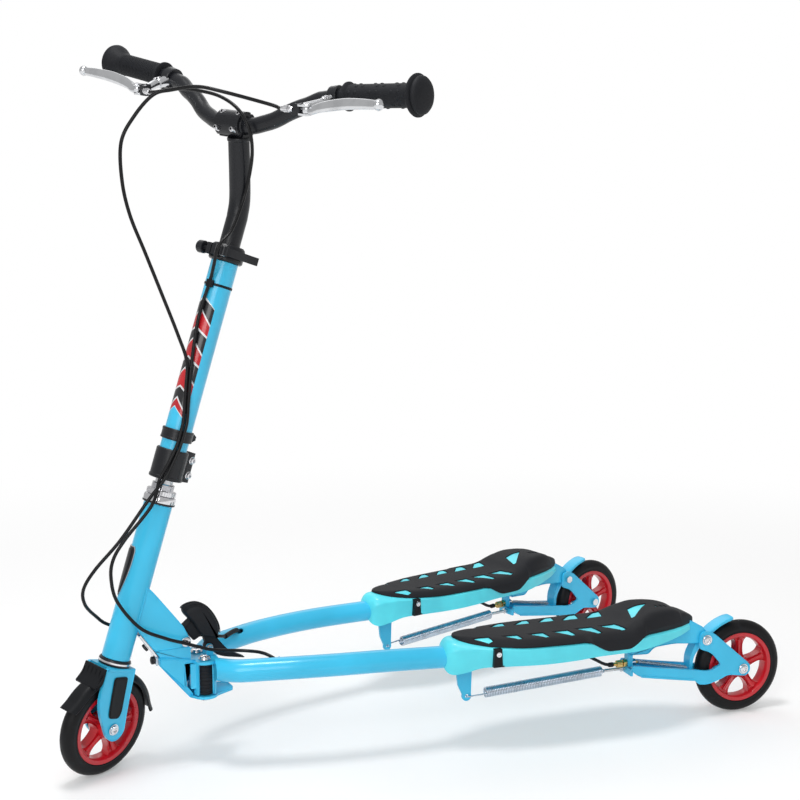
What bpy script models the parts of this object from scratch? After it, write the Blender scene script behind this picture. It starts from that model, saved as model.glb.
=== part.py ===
"""Three-wheel scissor scooter: two sprung rear arms swing open and shut behind one steered wheel.

Metres, +Z up, -Y forward, +X the rider's left, origin on the floor under the middle of its box.
The rest pose is a parked one: the bar is turned to the left and the arms stand a little open.
"""

import math

import bmesh
import bpy
from mathutils import Matrix, Vector

GAP = 0.0004  # clearance between pieces that touch on the real scooter
WALL = 0.0022  # wall of the round tubes
CENTRE_X = -0.0120  # the bracket's middle; the turned bar reaches further to the left than to the right

# Wheels: 145 mm polyurethane tyres on five-spoke rims.
WHEEL_RADIUS = 0.0725
TYRE_HALF_WIDTH = 0.0118
RIM_RADIUS = 0.0543
RIM_HALF_WIDTH = 0.0112
HUB_RADIUS = 0.0150
HUB_HALF_WIDTH = 0.0158
AXLE_RADIUS = 0.0040

# Steering axis: it meets the floor at STEER_FOOT_Y and leans back by RAKE.
STEER_FOOT_Y = -0.507
RAKE = math.radians(17.53)
STEER_REST = math.radians(26.88)
FORK_OFFSET = 0.0117
FORK_LEG_X = (0.0165, 0.0212)

# Heights along the steering axis, measured from the floor point.
CROWN_T = (0.1600, 0.1655)
HEAD_T = (0.1750, 0.3955)
CLAMP_T = (0.4310, 0.4734)
STEM_T = (0.4316, 0.7412)
RING_T = (0.4862, 0.5016)
COLLAR_T = (0.7416, 0.7650)
HEAD_RADIUS = 0.0200
HEAD_BORE = 0.0175
STEERER_RADIUS = 0.0127
STEM_RADIUS = 0.0190
STEM_BORE = 0.0170
POST_RADIUS = 0.0146

# Handlebar, in the steering frame (x, forward offset f, height t). It is clamped a little off centre.
BAR_SHIFT = -0.0080
BAR_CENTRE = Vector((0.0, -0.0441, 0.9240))
BAR_RISE = Vector((0.0, 0.1851, 0.9827))
POST_BEND = Vector((0.0, -0.0160, 0.8580))
POST_END = Vector((0.0, -0.0385, 0.9080))
BAR_RADIUS = 0.0111
GRIP_RADIUS = 0.0155
GRIP_INNER = 0.1720
GRIP_OUTER = 0.2720
BAR_END = 0.2850
LEVER_CLAMP_X = 0.1550
LEVER_PIVOT = Vector((0.1580, -0.0874, 0.9445))
LEVER_PULL = Vector((0.0, 0.8750, 0.4840))
FERRULE = Vector((0.1222, -0.0958, 0.9402))

# Pivot bracket: two upright bolts, one for each arm.
PIVOT_X = 0.0185
PIVOT_Y = -0.3323
PIVOT_BOLT_RADIUS = 0.0050
BUSH_RADIUS = 0.0112
BARREL_RADIUS = 0.0160
BARREL_Z = (0.1014, 0.1476)
CAP_RADIUS = 0.0190
TOP_PLATE_Z = (0.1480, 0.1520)
LOW_PLATE_Z = (0.0974, 0.1010)
FOLD_PIN = Vector((0.0, -0.3590, 0.1800))
PEDAL_PIN = Vector((0.0, -0.3215, 0.1640))

# Arm, in its own frame: x outward from its pivot, y back along the arm, z up from the floor.
ARM_REST = math.radians(9.0)
ARM_LINE = 0.0578
ARM_TUBE_RADIUS = 0.0160
ARM_TUBE_BORE = 0.0145
SUSPENSION_Y, SUSPENSION_Z = 0.7576, 0.1250
REAR_AXLE_Y = 0.8225
SWING_PLATE_X = (0.0168, 0.0206)
NECK_PLATE_X = (0.0126, 0.0162)
BRAKE_HALF_WIDTH = 0.0118
SPRING_X = ARM_LINE - 0.0035
SPRING_RADIUS = 0.0080
ADJUSTER_X = ARM_LINE + 0.0040
ADJUSTER_Z = 0.0973
CABLE_RADIUS = 0.0024

X, Y, Z = Vector((1, 0, 0)), Vector((0, 1, 0)), Vector((0, 0, 1))


# Shapes, each a closed mesh in the coordinates of the frame that it is made for


def shape_of(points, faces):
    mesh = bmesh.new()
    corners = [mesh.verts.new(point) for point in points]
    for face in faces:
        mesh.faces.new([corners[index] for index in face])
    bmesh.ops.recalc_face_normals(mesh, faces=mesh.faces)
    if mesh.calc_volume(signed=True) < 0:
        bmesh.ops.reverse_faces(mesh, faces=mesh.faces)
    return mesh


def loft(rings):
    """A skin through rings of equal length, closed by a flat face at each end."""
    count = len(rings[0])
    points = [point for ring in rings for point in ring]
    faces = [list(range(count)), list(range(len(points) - count, len(points)))]
    for row in range(len(rings) - 1):
        for k in range(count):
            a, b = row * count + k, row * count + (k + 1) % count
            faces.append([a, b, b + count, a + count])
    return shape_of(points, faces)


def tube(path, radius, sides=12):
    """A round bar along a path; radius is one number or one for each point."""
    path = [Vector(point) for point in path]
    radii = radius if isinstance(radius, (list, tuple)) else [radius] * len(path)
    side = None
    rings = []
    for index, point in enumerate(path):
        ahead = path[min(index + 1, len(path) - 1)] - path[max(index - 1, 0)]
        ahead.normalize()
        if side is None:
            side = ahead.orthogonal().normalized()
        side = (side - ahead * side.dot(ahead)).normalized()
        other = ahead.cross(side)
        turns = [2 * math.pi * k / sides for k in range(sides)]
        rings.append([point + radii[index] * (side * math.cos(a) + other * math.sin(a)) for a in turns])
    return loft(rings)


def bar(start, end, radius, sides=12):
    return tube([start, end], radius, sides)


def turned(profile, at, axis, sides=24):
    """A closed profile of (radius, height) points, all off the axis, turned about it."""
    axis = Vector(axis).normalized()
    side = axis.orthogonal().normalized()
    other = axis.cross(side)
    count = len(profile)
    points, faces = [], []
    for k in range(sides):
        angle = 2 * math.pi * k / sides
        out = side * math.cos(angle) + other * math.sin(angle)
        points += [Vector(at) + out * r + axis * h for r, h in profile]
        for j in range(count):
            a, b = k * count + j, k * count + (j + 1) % count
            c, d = ((k + 1) % sides) * count + (j + 1) % count, ((k + 1) % sides) * count + j
            faces.append([a, b, c, d])
    return shape_of(points, faces)


def ring(at, axis, inner, outer, low, high, sides=20):
    return turned([(inner, low), (outer, low), (outer, high), (inner, high)], at, axis, sides)


def plate(outline, at, along, up, low, high):
    """An outline in the plane (along, up), given thickness from low to high on its normal."""
    along, up = Vector(along), Vector(up)
    normal = along.cross(up)
    rings = []
    for level in (low, high):
        rings.append([Vector(at) + along * a + up * b + normal * level for a, b in outline])
    return loft(rings)


def profile_yz(outline, low, high, at_x=0.0):
    """A side view (y, z) given width from low to high on each side of at_x."""
    return plate(outline, (at_x, 0, 0), Y, Z, low, high)


def block(low, high):
    outline = [(low[0], low[1]), (high[0], low[1]), (high[0], high[1]), (low[0], high[1])]
    return plate(outline, (0, 0, 0), X, Y, low[2], high[2])


def arc(centre, radius, start, end, steps):
    """Points on an arc from one angle to another, in degrees."""
    angles = [math.radians(start + (end - start) * k / steps) for k in range(steps + 1)]
    return [(centre[0] + radius * math.cos(a), centre[1] + radius * math.sin(a)) for a in angles]


def smooth(points, steps):
    """A Catmull-Rom curve through the points, with so many steps between neighbours."""
    points = [Vector(point) for point in points]
    padded = [points[0] * 2 - points[1]] + points + [points[-1] * 2 - points[-2]]
    curve = []
    for a, b, c, d in zip(padded, padded[1:], padded[2:], padded[3:]):
        for k in range(steps):
            s = k / steps
            curve.append(0.5 * (2 * b + (c - a) * s + (2 * a - 5 * b + 4 * c - d) * s * s
                                + (3 * b - a - 3 * c + d) * s * s * s))
    return curve + [points[-1]]


def mirrored(mesh, side):
    """The shape itself on the left, and its mirror image on the right."""
    if side < 0:
        bmesh.ops.scale(mesh, vec=(-1, 1, 1), verts=mesh.verts)
        bmesh.ops.reverse_faces(mesh, faces=mesh.faces)
    return mesh


# Materials


def finish(name, colour, roughness, metallic=0.0):
    material = bpy.data.materials.new(name)
    material.use_nodes = True
    shader = material.node_tree.nodes["Principled BSDF"]
    shader.inputs["Base Color"].default_value = (*colour, 1.0)
    shader.inputs["Roughness"].default_value = roughness
    shader.inputs["Metallic"].default_value = metallic
    material.diffuse_color = (*colour, 1.0)
    return material


def all_finishes():
    return {
        "blue": finish("blue_paint", (0.09, 0.52, 0.82), 0.35),
        "shell": finish("shell_plastic", (0.12, 0.68, 0.88), 0.4),
        "black": finish("black_metal", (0.02, 0.02, 0.022), 0.45, 0.3),
        "alloy": finish("black_alloy", (0.02, 0.02, 0.022), 0.45, 0.3),
        "polished": finish("polished_alloy", (0.75, 0.75, 0.77), 0.2, 1.0),
        "plastic": finish("black_plastic", (0.02, 0.02, 0.022), 0.5),
        "rubber": finish("black_rubber", (0.025, 0.025, 0.028), 0.8),
        "tyre": finish("tyre", (0.02, 0.02, 0.02), 0.55),
        "red": finish("red_plastic", (0.62, 0.01, 0.02), 0.35),
        "steel": finish("bright_steel", (0.7, 0.7, 0.72), 0.25, 1.0),
        "brass": finish("brass", (0.72, 0.52, 0.2), 0.3, 1.0),
    }


# Assembly


class Rig:
    """An empty on a joint's axis. Its shapes are drawn from zero, in the frame of place."""

    def __init__(self, name, place, parent=None, zero=(0, 0, 0)):
        self.empty = bpy.data.objects.new(name, None)
        self.empty.empty_display_size = 0.03
        bpy.context.collection.objects.link(self.empty)
        if parent:
            self.empty.parent = parent.empty
            place = Matrix.Translation(-parent.zero) @ place
        self.empty.matrix_local = place
        self.zero = Vector(zero)


def as_object(name, mesh, rig):
    mesh.transform(Matrix.Translation(-rig.zero))
    data = bpy.data.meshes.new(name)
    mesh.to_mesh(data)
    mesh.free()
    made = bpy.data.objects.new(name, data)
    bpy.context.collection.objects.link(made)
    made.parent = rig.empty
    return made


def boolean(made, helper, operation):
    helper.hide_render = True
    helper.display_type = "WIRE"
    modifier = made.modifiers.new(operation.lower(), "BOOLEAN")
    modifier.operation = operation
    modifier.object = helper


def node(name, rig, material, shapes, cuts=(), side=1):
    """One named piece: the shapes joined into one body, less the cuts."""
    made = as_object(name, mirrored(shapes[0], side), rig)
    made.data.materials.append(material)
    made.data.shade_smooth()
    made.data.set_sharp_from_angle(angle=math.radians(35))
    for index, mesh in enumerate(shapes[1:]):
        boolean(made, as_object(f"{name}_join_{index}", mirrored(mesh, side), rig), "UNION")
    for index, mesh in enumerate(cuts):
        boolean(made, as_object(f"{name}_cut_{index}", mirrored(mesh, side), rig), "DIFFERENCE")
    return made


# Wheels, drawn about their own centre with the axle along X


def tyre(name, rig, looks):
    crown = WHEEL_RADIUS - TYRE_HALF_WIDTH
    profile = [(RIM_RADIUS, -0.0105), (RIM_RADIUS, 0.0105)]
    profile += [(crown + b, a) for a, b in arc((0, 0), TYRE_HALF_WIDTH, 0, 180, 6)]
    node(name, rig, looks["tyre"], [turned(profile, (0, 0, 0), X, 32)])


def rim(name, rig, looks):
    bore = AXLE_RADIUS + GAP
    outer = RIM_RADIUS - GAP
    band = [(0.0475, -RIM_HALF_WIDTH), (outer, -RIM_HALF_WIDTH), (outer, RIM_HALF_WIDTH),
            (0.0475, RIM_HALF_WIDTH)]
    shapes = [turned(band, (0, 0, 0), X, 32)]
    shapes.append(ring((0, 0, 0), X, bore, HUB_RADIUS, -HUB_HALF_WIDTH, HUB_HALF_WIDTH, 16))
    for k in range(5):
        angle = math.radians(90 + 72 * k)
        along = Vector((0, math.cos(angle), math.sin(angle)))
        spoke = [(HUB_RADIUS - 0.002, -0.0080), (0.032, -0.0050), (0.049, -0.0095),
                 (0.049, 0.0095), (0.032, 0.0050), (HUB_RADIUS - 0.002, 0.0080)]
        shapes.append(plate(spoke, (0, 0, 0), along, X.cross(along), -0.0075, 0.0075))
    node(name, rig, looks["red"], shapes)


# Front frame: head tube, gusset and headset, in the world frame


def front_frame(rig, raked, looks):
    foot = raked @ Vector((0, 0, 0))
    up = (raked @ Vector((0, 0, 1))) - foot
    head = bar(foot + up * HEAD_T[0], foot + up * HEAD_T[1], HEAD_RADIUS, 20)
    bore = bar(foot + up * (HEAD_T[0] - 0.01), foot + up * (HEAD_T[1] + 0.01), HEAD_BORE, 16)
    gusset = [(-0.4085, 0.2630), (-0.4020, 0.2605), (-0.3789, 0.2283), (-0.3615, 0.2021)]
    gusset += arc((FOLD_PIN.y, FOLD_PIN.z), 0.0078, 55, -90, 6)
    gusset += [(-0.4040, 0.1722), (-0.4258, 0.2036), (-0.4320, 0.2100)]
    box = profile_yz(gusset, -0.0165, 0.0165)
    pin = bar(FOLD_PIN - X * 0.03, FOLD_PIN + X * 0.03, 0.0042, 12)
    slot = block((-0.0064, FOLD_PIN.y - 0.0085, 0.150), (0.0064, FOLD_PIN.y + 0.03, FOLD_PIN.z + 0.0085))
    inside = [(-0.4055, 0.2500), (-0.3990, 0.2510), (-0.3814, 0.2266), (-0.3645, 0.2010), (-0.3660, 0.1870),
              (-0.4060, 0.1870), (-0.4190, 0.2060)]
    hollow = profile_yz(inside, -0.0135, 0.0135)
    node("front_frame", rig, looks["blue"], [head, box], [bore, pin, slot, hollow])
    for name, low, high in (("lower_headset", CROWN_T[1] + GAP, HEAD_T[0] - GAP),
                            ("upper_headset", HEAD_T[1] + GAP, HEAD_T[1] + 0.0120)):
        cup = [(0.0133, low), (0.0225, low), (0.0225, high - 0.002), (0.0205, high), (0.0133, high)]
        node(name, rig, looks["steel"], [turned(cup, foot, up, 20)])


# Pivot bracket and folding gear, in the world frame


def pivot_bracket(rig, looks):
    top = [(-0.0183, -0.3500), (0.0183, -0.3500)]
    top += arc((PIVOT_X, PIVOT_Y), CAP_RADIUS, -50, 80, 7)
    top += [(0.0065, -0.3136), (0.0065, -0.3265), (-0.0065, -0.3265), (-0.0065, -0.3136)]
    top += arc((-PIVOT_X, PIVOT_Y), CAP_RADIUS, 100, 230, 7)
    low = [(-0.0165, -0.3540), (0.0165, -0.3540)]
    low += arc((PIVOT_X, PIVOT_Y), 0.0175, -55, 60, 6)
    low += [(0.0150, -0.2905), (0.0095, -0.2880), (-0.0095, -0.2880), (-0.0150, -0.2905)]
    low += arc((-PIVOT_X, PIVOT_Y), 0.0175, 120, 235, 6)
    shapes = [plate(top, (0, 0, 0), X, Y, *TOP_PLATE_Z), plate(low, (0, 0, 0), X, Y, *LOW_PLATE_Z)]
    nose = [(-0.3975, 0.1500), (-0.3975, 0.1620), (-0.3450, 0.1519), (-0.3450, 0.1481),
            (-0.3625, 0.1481), (-0.3625, 0.1130)]
    shapes.append(profile_yz(nose, -0.0183, 0.0183))
    web = [(-0.3970, 0.1500), (-0.3540, 0.0976), (-0.3500, 0.0976), (-0.3500, 0.1030),
           (-0.3700, 0.1300), (-0.3970, 0.1560)]
    shapes.append(profile_yz(web, -0.0165, 0.0165))
    saddle = [(-0.4033, 0.1718), (-0.3950, 0.1600), (-0.3940, 0.1550), (-0.3520, 0.1500), (-0.3520, 0.1718)]
    shapes.append(profile_yz(saddle, -0.0163, 0.0163))
    lug = arc((FOLD_PIN.y, FOLD_PIN.z), 0.0075, 0, 180, 8) + [(-0.3665, 0.1650), (-0.3515, 0.1650)]
    shapes.append(profile_yz(lug, -0.0060, 0.0060))
    ear = arc((PEDAL_PIN.y, PEDAL_PIN.z), 0.0050, 0, 180, 6) + [(-0.3265, 0.1500), (-0.3165, 0.1500)]
    shapes += [profile_yz(ear, low_x, low_x + 0.0030) for low_x in (-0.0092, 0.0062)]
    cuts = [bar(FOLD_PIN - X * 0.03, FOLD_PIN + X * 0.03, 0.0042, 12)]
    cuts.append(bar(PEDAL_PIN - X * 0.03, PEDAL_PIN + X * 0.03, 0.0031, 10))
    for side in (-1, 1):
        foot = Vector((side * PIVOT_X, PIVOT_Y, 0.08))
        cuts.append(bar(foot, foot + Z * 0.1, PIVOT_BOLT_RADIUS + GAP, 12))
        cuts.append(bar(foot, foot + Z * (LOW_PLATE_Z[0] + 0.0006 - foot.z), 0.0088, 24))
    node("pivot_bracket", rig, looks["blue"], shapes, cuts)


def pivot_bolt(name, rig, side, looks):
    at = Vector((side * PIVOT_X, PIVOT_Y, 0))
    top, low = TOP_PLATE_Z[1] + GAP, LOW_PLATE_Z[0] - GAP
    shapes = [bar(at + Z * (low - 0.0065), at + Z * (top + 0.0020), PIVOT_BOLT_RADIUS, 12)]
    shapes.append(bar(at + Z * top, at + Z * (top + 0.0040), 0.0078, 12))
    shapes.append(bar(at + Z * (low - 0.0048), at + Z * low, 0.0078, 6))
    node(name, rig, looks["steel"], shapes)


def fold_pin(rig, looks):
    shaft = bar(FOLD_PIN - X * 0.0180, FOLD_PIN + X * 0.0180, 0.0038, 12)
    heads = [bar(FOLD_PIN + X * s * 0.0169, FOLD_PIN + X * s * 0.0205, 0.0072, 12) for s in (-1, 1)]
    node("fold_pin", rig, looks["steel"], [shaft] + heads)


def latch_plate(rig, looks):
    """A bent striker in front of the gusset and the bracket, with two bolt heads."""
    side_view = [(-0.4216, 0.1966), (-0.3981, 0.1627), (-0.3981, 0.1500), (-0.4011, 0.1500),
                 (-0.4011, 0.1617), (-0.4241, 0.1949)]
    shapes = [profile_yz(side_view, -0.0120, 0.0120)]
    for foot, ahead in (((0, -0.4104, 0.1757), (0, -0.822, -0.571)), ((0, -0.4006, 0.1543), (0, -1, 0))):
        start = Vector(foot)
        shapes.append(bar(start, start + Vector(ahead) * 0.0050, 0.0055, 6))
    node("latch_plate", rig, looks["steel"], shapes)


def fold_pedal(rig, looks):
    """A broad rubber-covered head on a leg, with a thin tail behind."""
    head = [(-0.3565, 0.2250), (-0.3450, 0.2285), (-0.3342, 0.2282), (-0.3230, 0.2225), (-0.3153, 0.2130),
            (-0.3090, 0.2010), (-0.3061, 0.1910), (-0.3081, 0.1753), (-0.3337, 0.1823), (-0.3475, 0.2049)]
    neck = [(-0.3455, 0.2075), (-0.3583, 0.1970), (-0.3450, 0.1768), (-0.3325, 0.1835), (-0.3280, 0.1950)]
    leg = [(-0.3120, 0.1830), (-0.3085, 0.1745), (-0.2905, 0.1534), (-0.2677, 0.1402), (-0.3024, 0.1478),
           (-0.3171, 0.1582), (-0.3272, 0.1744), (-0.3250, 0.1860)]
    shapes = [profile_yz(head, -0.0140, 0.0140), profile_yz(neck, -0.0090, 0.0090)]
    shapes.append(profile_yz(leg, -0.0050, 0.0050))
    shapes.append(bar(PEDAL_PIN - X * 0.0050, PEDAL_PIN + X * 0.0050, 0.0055, 12))
    hole = bar(PEDAL_PIN - X * 0.02, PEDAL_PIN + X * 0.02, 0.0031, 10)
    node("fold_pedal", rig, looks["plastic"], shapes, [hole])


def pedal_pin(rig, looks):
    shapes = [bar(PEDAL_PIN - X * 0.0110, PEDAL_PIN + X * 0.0110, 0.0027, 10)]
    shapes += [bar(PEDAL_PIN + X * s * 0.0096, PEDAL_PIN + X * s * 0.0118, 0.0046, 10) for s in (-1, 1)]
    node("pedal_pin", rig, looks["steel"], shapes)


# Steering, in the frame (x, f, t) whose third axis is the steering axis


def fork(rig, hub_t, looks):
    crown = [(-0.0212, -0.0270), (0.0212, -0.0270), (0.0212, 0.0226), (-0.0212, 0.0226)]
    shapes = [plate(crown, (0, 0, 0), X, Y, *CROWN_T)]
    leg = [(-0.0304, CROWN_T[1] - 0.0004), (-0.0300, 0.1200), (-0.0220, 0.1000), (-0.0060, 0.0782),
           (0.0020, 0.0672), (0.0110, 0.0618), (0.0190, 0.0614), (0.0265, 0.0650), (0.0310, 0.0715),
           (0.0326, 0.0780), (0.0262, 0.1201), (0.0226, CROWN_T[1] - 0.0004)]
    for ends in ((-FORK_LEG_X[1], -FORK_LEG_X[0]), FORK_LEG_X):
        shapes.append(profile_yz(leg, *ends))
    shapes.append(bar((0, 0, CROWN_T[0] + 0.002), (0, 0, 0.4700), STEERER_RADIUS - 0.0002, 16))
    axle_hole = bar((-0.03, FORK_OFFSET, hub_t), (0.03, FORK_OFFSET, hub_t), AXLE_RADIUS + GAP, 12)
    hollow = bar((0, 0, CROWN_T[1]), (0, 0, 0.4800), STEERER_RADIUS - WALL, 12)
    node("fork", rig, looks["blue"], shapes, [axle_hole, hollow])


def axle(name, rig, at, half_width, looks, side=1):
    """A bolt along X with a head at one end and a nut at the other."""
    at = Vector(at)
    shapes = [bar(at - X * (half_width + 0.004), at + X * (half_width + 0.002), AXLE_RADIUS, 10)]
    shapes.append(bar(at + X * (half_width + GAP), at + X * (half_width + 0.0040), 0.0068, 10))
    shapes.append(bar(at - X * (half_width + 0.0050), at - X * (half_width + GAP), 0.0068, 6))
    node(name, rig, looks["steel"], shapes, side=side)


def front_fender(rig, hub_t, looks):
    """An arch over the tyre between the fork legs, with a block in front of the crown."""
    centre = (FORK_OFFSET, hub_t)
    inner, outer = WHEEL_RADIUS + 0.0036, WHEEL_RADIUS + 0.0068
    skin = arc(centre, outer, 19, 162, 14) + arc(centre, inner, 162, 19, 14)
    shapes = [profile_yz(skin, -0.0150, 0.0150)]
    front = [(-0.0310, 0.1640), (-0.0335, 0.1640), (-0.0345, 0.1500), (-0.0430, 0.1365),
             (-0.0405, 0.1348), (-0.0310, 0.1440)]
    shapes.append(profile_yz(front, -0.0205, 0.0205))
    bridge = [(-0.0320, 0.1442), (-0.0320, 0.1630), (-0.0275, 0.1630), (-0.0275, 0.1590),
              (-0.0050, 0.1590), (-0.0050, 0.1552)]
    shapes.append(profile_yz(bridge, -0.0148, 0.0148))
    wheel_room = turned([(0.001, -0.04), (inner, -0.04), (inner, 0.04), (0.001, 0.04)],
                        (0, centre[0], centre[1]), X, 32)
    node("front_fender", rig, looks["plastic"], shapes, [wheel_room])


def stem_clamp(rig, looks):
    low, high = CLAMP_T
    shapes = [ring((0, 0, 0), Z, STEM_RADIUS + GAP, 0.0228, low, high)]
    shapes.append(block((-0.0080, 0.0205, low), (0.0080, 0.0390, high)))
    for level in (low + 0.0105, high - 0.0105):
        shapes.append(bar((-0.0110, 0.0335, level), (0.0120, 0.0335, level), 0.0046, 8))
    node("stem_clamp", rig, looks["alloy"], shapes)


def lock_ring(rig, looks):
    low = HEAD_T[1] + 0.0125
    profile = [(0.0131, low), (0.0205, low), (0.0205, low + 0.0075), (0.0165, low + 0.0105),
               (0.0165, low + 0.0160), (0.0131, low + 0.0160)]
    node("lock_ring", rig, looks["steel"], [turned(profile, (0, 0, 0), Z, 20)])


def stem_tube(rig, looks):
    node("stem_tube", rig, looks["blue"], [ring((0, 0, 0), Z, STEM_BORE, STEM_RADIUS, *STEM_T)])


def ring_clamp(rig, looks):
    low, high = RING_T
    shapes = [ring((0, 0, 0), Z, STEM_RADIUS + GAP, 0.0222, low, high)]
    shapes.append(block((-0.0050, 0.0205, low + 0.003), (0.0050, 0.0285, high - 0.003)))
    middle = (low + high) / 2
    shapes.append(bar((-0.0085, 0.0250, middle), (0.0085, 0.0250, middle), 0.0052, 10))
    node("ring_clamp", rig, looks["alloy"], shapes)


def seat_collar(rig, looks):
    low, high = COLLAR_T
    shapes = [ring((0, 0, 0), Z, POST_RADIUS + GAP, 0.0240, low, high)]
    shapes.append(block((-0.0110, -0.0340, low + 0.004), (0.0110, -0.0190, high - 0.004)))
    skewer = Vector((0, -0.0270, (low + high) / 2))
    shapes.append(bar(skewer - X * 0.0200, skewer, 0.0045, 8))
    shapes.append(bar(skewer - X * 0.0290, skewer - X * 0.0170, 0.0090, 12))
    node("seat_collar", rig, looks["alloy"], shapes)


def quick_release(rig, looks):
    """The cam lever, closed along the left side of the collar."""
    at = rig.zero
    shapes = [bar(at - Z * 0.0065, at + Z * 0.0065, 0.0060, 12)]
    outline = [(-0.0300, 0.0185), (-0.0230, 0.0248), (-0.0120, 0.0290), (0.0160, 0.0315), (0.0258, 0.0348),
               (0.0275, 0.0320), (0.0180, 0.0290), (-0.0100, 0.0262), (-0.0200, 0.0225), (-0.0255, 0.0160)]
    flat = [(b, a) for a, b in outline]
    shapes.append(plate(flat, (0, 0, at.z), X, Y, -0.0055, 0.0055))
    node("quick_release", rig, looks["alloy"], shapes)


# Handlebar, in the steering frame moved to the bar's own centre


def bar_path():
    """The left half's centreline: level in the clamp, then a deep rise to the grips."""
    rises = [(0.0, 0.0), (0.030, 0.0), (0.0516, 0.0068), (0.068, 0.0140), (0.0855, 0.0262), (0.101, 0.0350),
             (0.114, 0.0408), (0.128, 0.0490), (0.1365, 0.0515), (0.173, 0.0595), (0.222, 0.0645),
             (BAR_END, 0.0724)]
    return [BAR_CENTRE + X * x + BAR_RISE * w for x, w in rises]


def bar_point(x):
    """The centreline's point at the distance x from the middle."""
    path = bar_path()
    for inner, outer in zip(path, path[1:]):
        if inner.x <= x <= outer.x:
            return inner.lerp(outer, (x - inner.x) / (outer.x - inner.x))
    return path[-1]


def handle_post(rig, looks):
    off = -X * BAR_SHIFT
    straight = [off + Z * 0.5000, off + Z * 0.7950]
    bend = smooth([off + point for point in (
        Z * 0.8050, Vector((0, -0.0040, 0.8280)), POST_BEND, POST_END)], 2)
    inside = [off + Z * 0.4900] + straight[1:] + bend[:-1]
    hollow = tube(inside, POST_RADIUS - WALL, 10)
    node("handle_post", rig, looks["black"], [tube(straight + bend, POST_RADIUS, 14)], [hollow])


def bar_clamp(rig, looks):
    shapes = [bar(BAR_CENTRE - X * 0.0220, BAR_CENTRE + X * 0.0220, 0.0185, 14)]
    for across in (-0.0150, 0.0150):
        for level in (-0.0120, 0.0120):
            foot = BAR_CENTRE + X * across + BAR_RISE * level + Y * -0.0100
            shapes.append(bar(foot, foot - Y * 0.0090, 0.0036, 6))
    bar_room = bar(BAR_CENTRE - X * 0.05, BAR_CENTRE + X * 0.05, BAR_RADIUS + 0.0012, 14)
    ahead = (POST_END - POST_BEND).normalized()
    post_end = POST_END - X * BAR_SHIFT
    post_room = bar(post_end - ahead * 0.0400, post_end + ahead * 0.0008, POST_RADIUS + 0.0020, 14)
    node("bar_clamp", rig, looks["alloy"], shapes, [bar_room, post_room])


def handlebar(rig, looks):
    half = bar_path()
    whole = [Vector((-p.x, p.y, p.z)) for p in reversed(half[1:])] + half
    line = smooth(whole, 2)
    inside = [line[0] * 1.1 - line[1] * 0.1] + line[1:-1] + [line[-1] * 1.1 - line[-2] * 0.1]
    hollow = tube(inside, BAR_RADIUS - WALL, 8)
    node("handlebar", rig, looks["black"], [tube(line, BAR_RADIUS, 10)], [hollow])


def grip(name, rig, side, looks):
    inner, outer = bar_point(GRIP_INNER), bar_point(GRIP_OUTER)
    along = (outer - inner).normalized()
    length = (outer - inner).length
    bore = BAR_RADIUS + 0.0012
    profile = [(bore, 0.0), (0.0190, 0.0), (0.0190, 0.0030), (GRIP_RADIUS, 0.0050),
               (GRIP_RADIUS, length - 0.004), (0.0265, length), (0.0275, length + 0.0035),
               (0.0250, length + 0.0060), (0.0225, length + 0.0160), (0.0140, length + 0.0205),
               (0.0010, length + 0.0215), (0.0010, length + 0.0160), (bore, length + 0.0150)]
    node(name, rig, looks["rubber"], [turned(profile, inner, along, 16)], side=side)


def lever_bracket(name, rig, side, looks):
    """The clamp round the bar, its arm, the two cheeks that hold the lever, and the cable barrel."""
    at = bar_point(LEVER_CLAMP_X)
    along = (bar_point(LEVER_CLAMP_X + 0.01) - bar_point(LEVER_CLAMP_X - 0.01)).normalized()
    shapes = [ring(at, along, BAR_RADIUS + 0.0014, 0.0160, -0.0070, 0.0070, 16)]
    down = (Vector((0, LEVER_PIVOT.y, LEVER_PIVOT.z)) - Vector((0, at.y, at.z))).normalized()
    body = LEVER_PIVOT + Vector((-0.0140, 0.0, 0.0))
    shapes.append(tube([at + down * 0.0138, at + down * 0.0300, body], [0.0075, 0.0062, 0.0060], 8))
    core = [(-0.0240, -0.0055), (-0.0086, -0.0055), (-0.0086, 0.0055), (-0.0240, 0.0055)]
    shapes.append(plate(core, LEVER_PIVOT, X, LEVER_PULL, -0.0072, 0.0072))
    cheek = [(-0.0120, -0.0053)] + arc((0, 0), 0.0058, -70, 70, 5) + [(-0.0120, 0.0053)]
    for low in (-0.0070, 0.0044):
        shapes.append(plate(cheek, LEVER_PIVOT, X, LEVER_PULL, low, low + 0.0026))
    reach = (FERRULE - LEVER_PIVOT).normalized()
    shapes.append(bar(LEVER_PIVOT + reach * 0.0160, FERRULE, 0.0046, 10))
    node(name, rig, looks["alloy"], shapes, side=side)


def brake_lever(name, rig, side, looks):
    hinge = X.cross(LEVER_PULL)
    shapes = [bar(LEVER_PIVOT - hinge * 0.0039, LEVER_PIVOT + hinge * 0.0039, 0.0055, 10)]
    points = [LEVER_PIVOT + X * 0.0030, LEVER_PIVOT + X * 0.0090, Vector((0.1760, -0.0868, 0.9510)),
              Vector((0.1918, -0.0865, 0.9568)), Vector((0.2182, -0.0883, 0.9559)),
              Vector((0.2450, -0.0900, 0.9552)), Vector((0.2700, -0.0919, 0.9558))]
    shapes.append(tube(points, [0.0034, 0.0034, 0.0044, 0.0056, 0.0054, 0.0048, 0.0046], 8))
    ball = [(0.0001, -0.0058), (0.0044, -0.0040), (0.0060, 0.0), (0.0044, 0.0040), (0.0001, 0.0058)]
    shapes.append(turned(ball, (0.2734, -0.0921, 0.9560), X, 10))
    node(name, rig, looks["polished"], shapes, side=side)


# Arm, in the frame whose first axis points outward and whose second runs back along the arm


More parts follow.
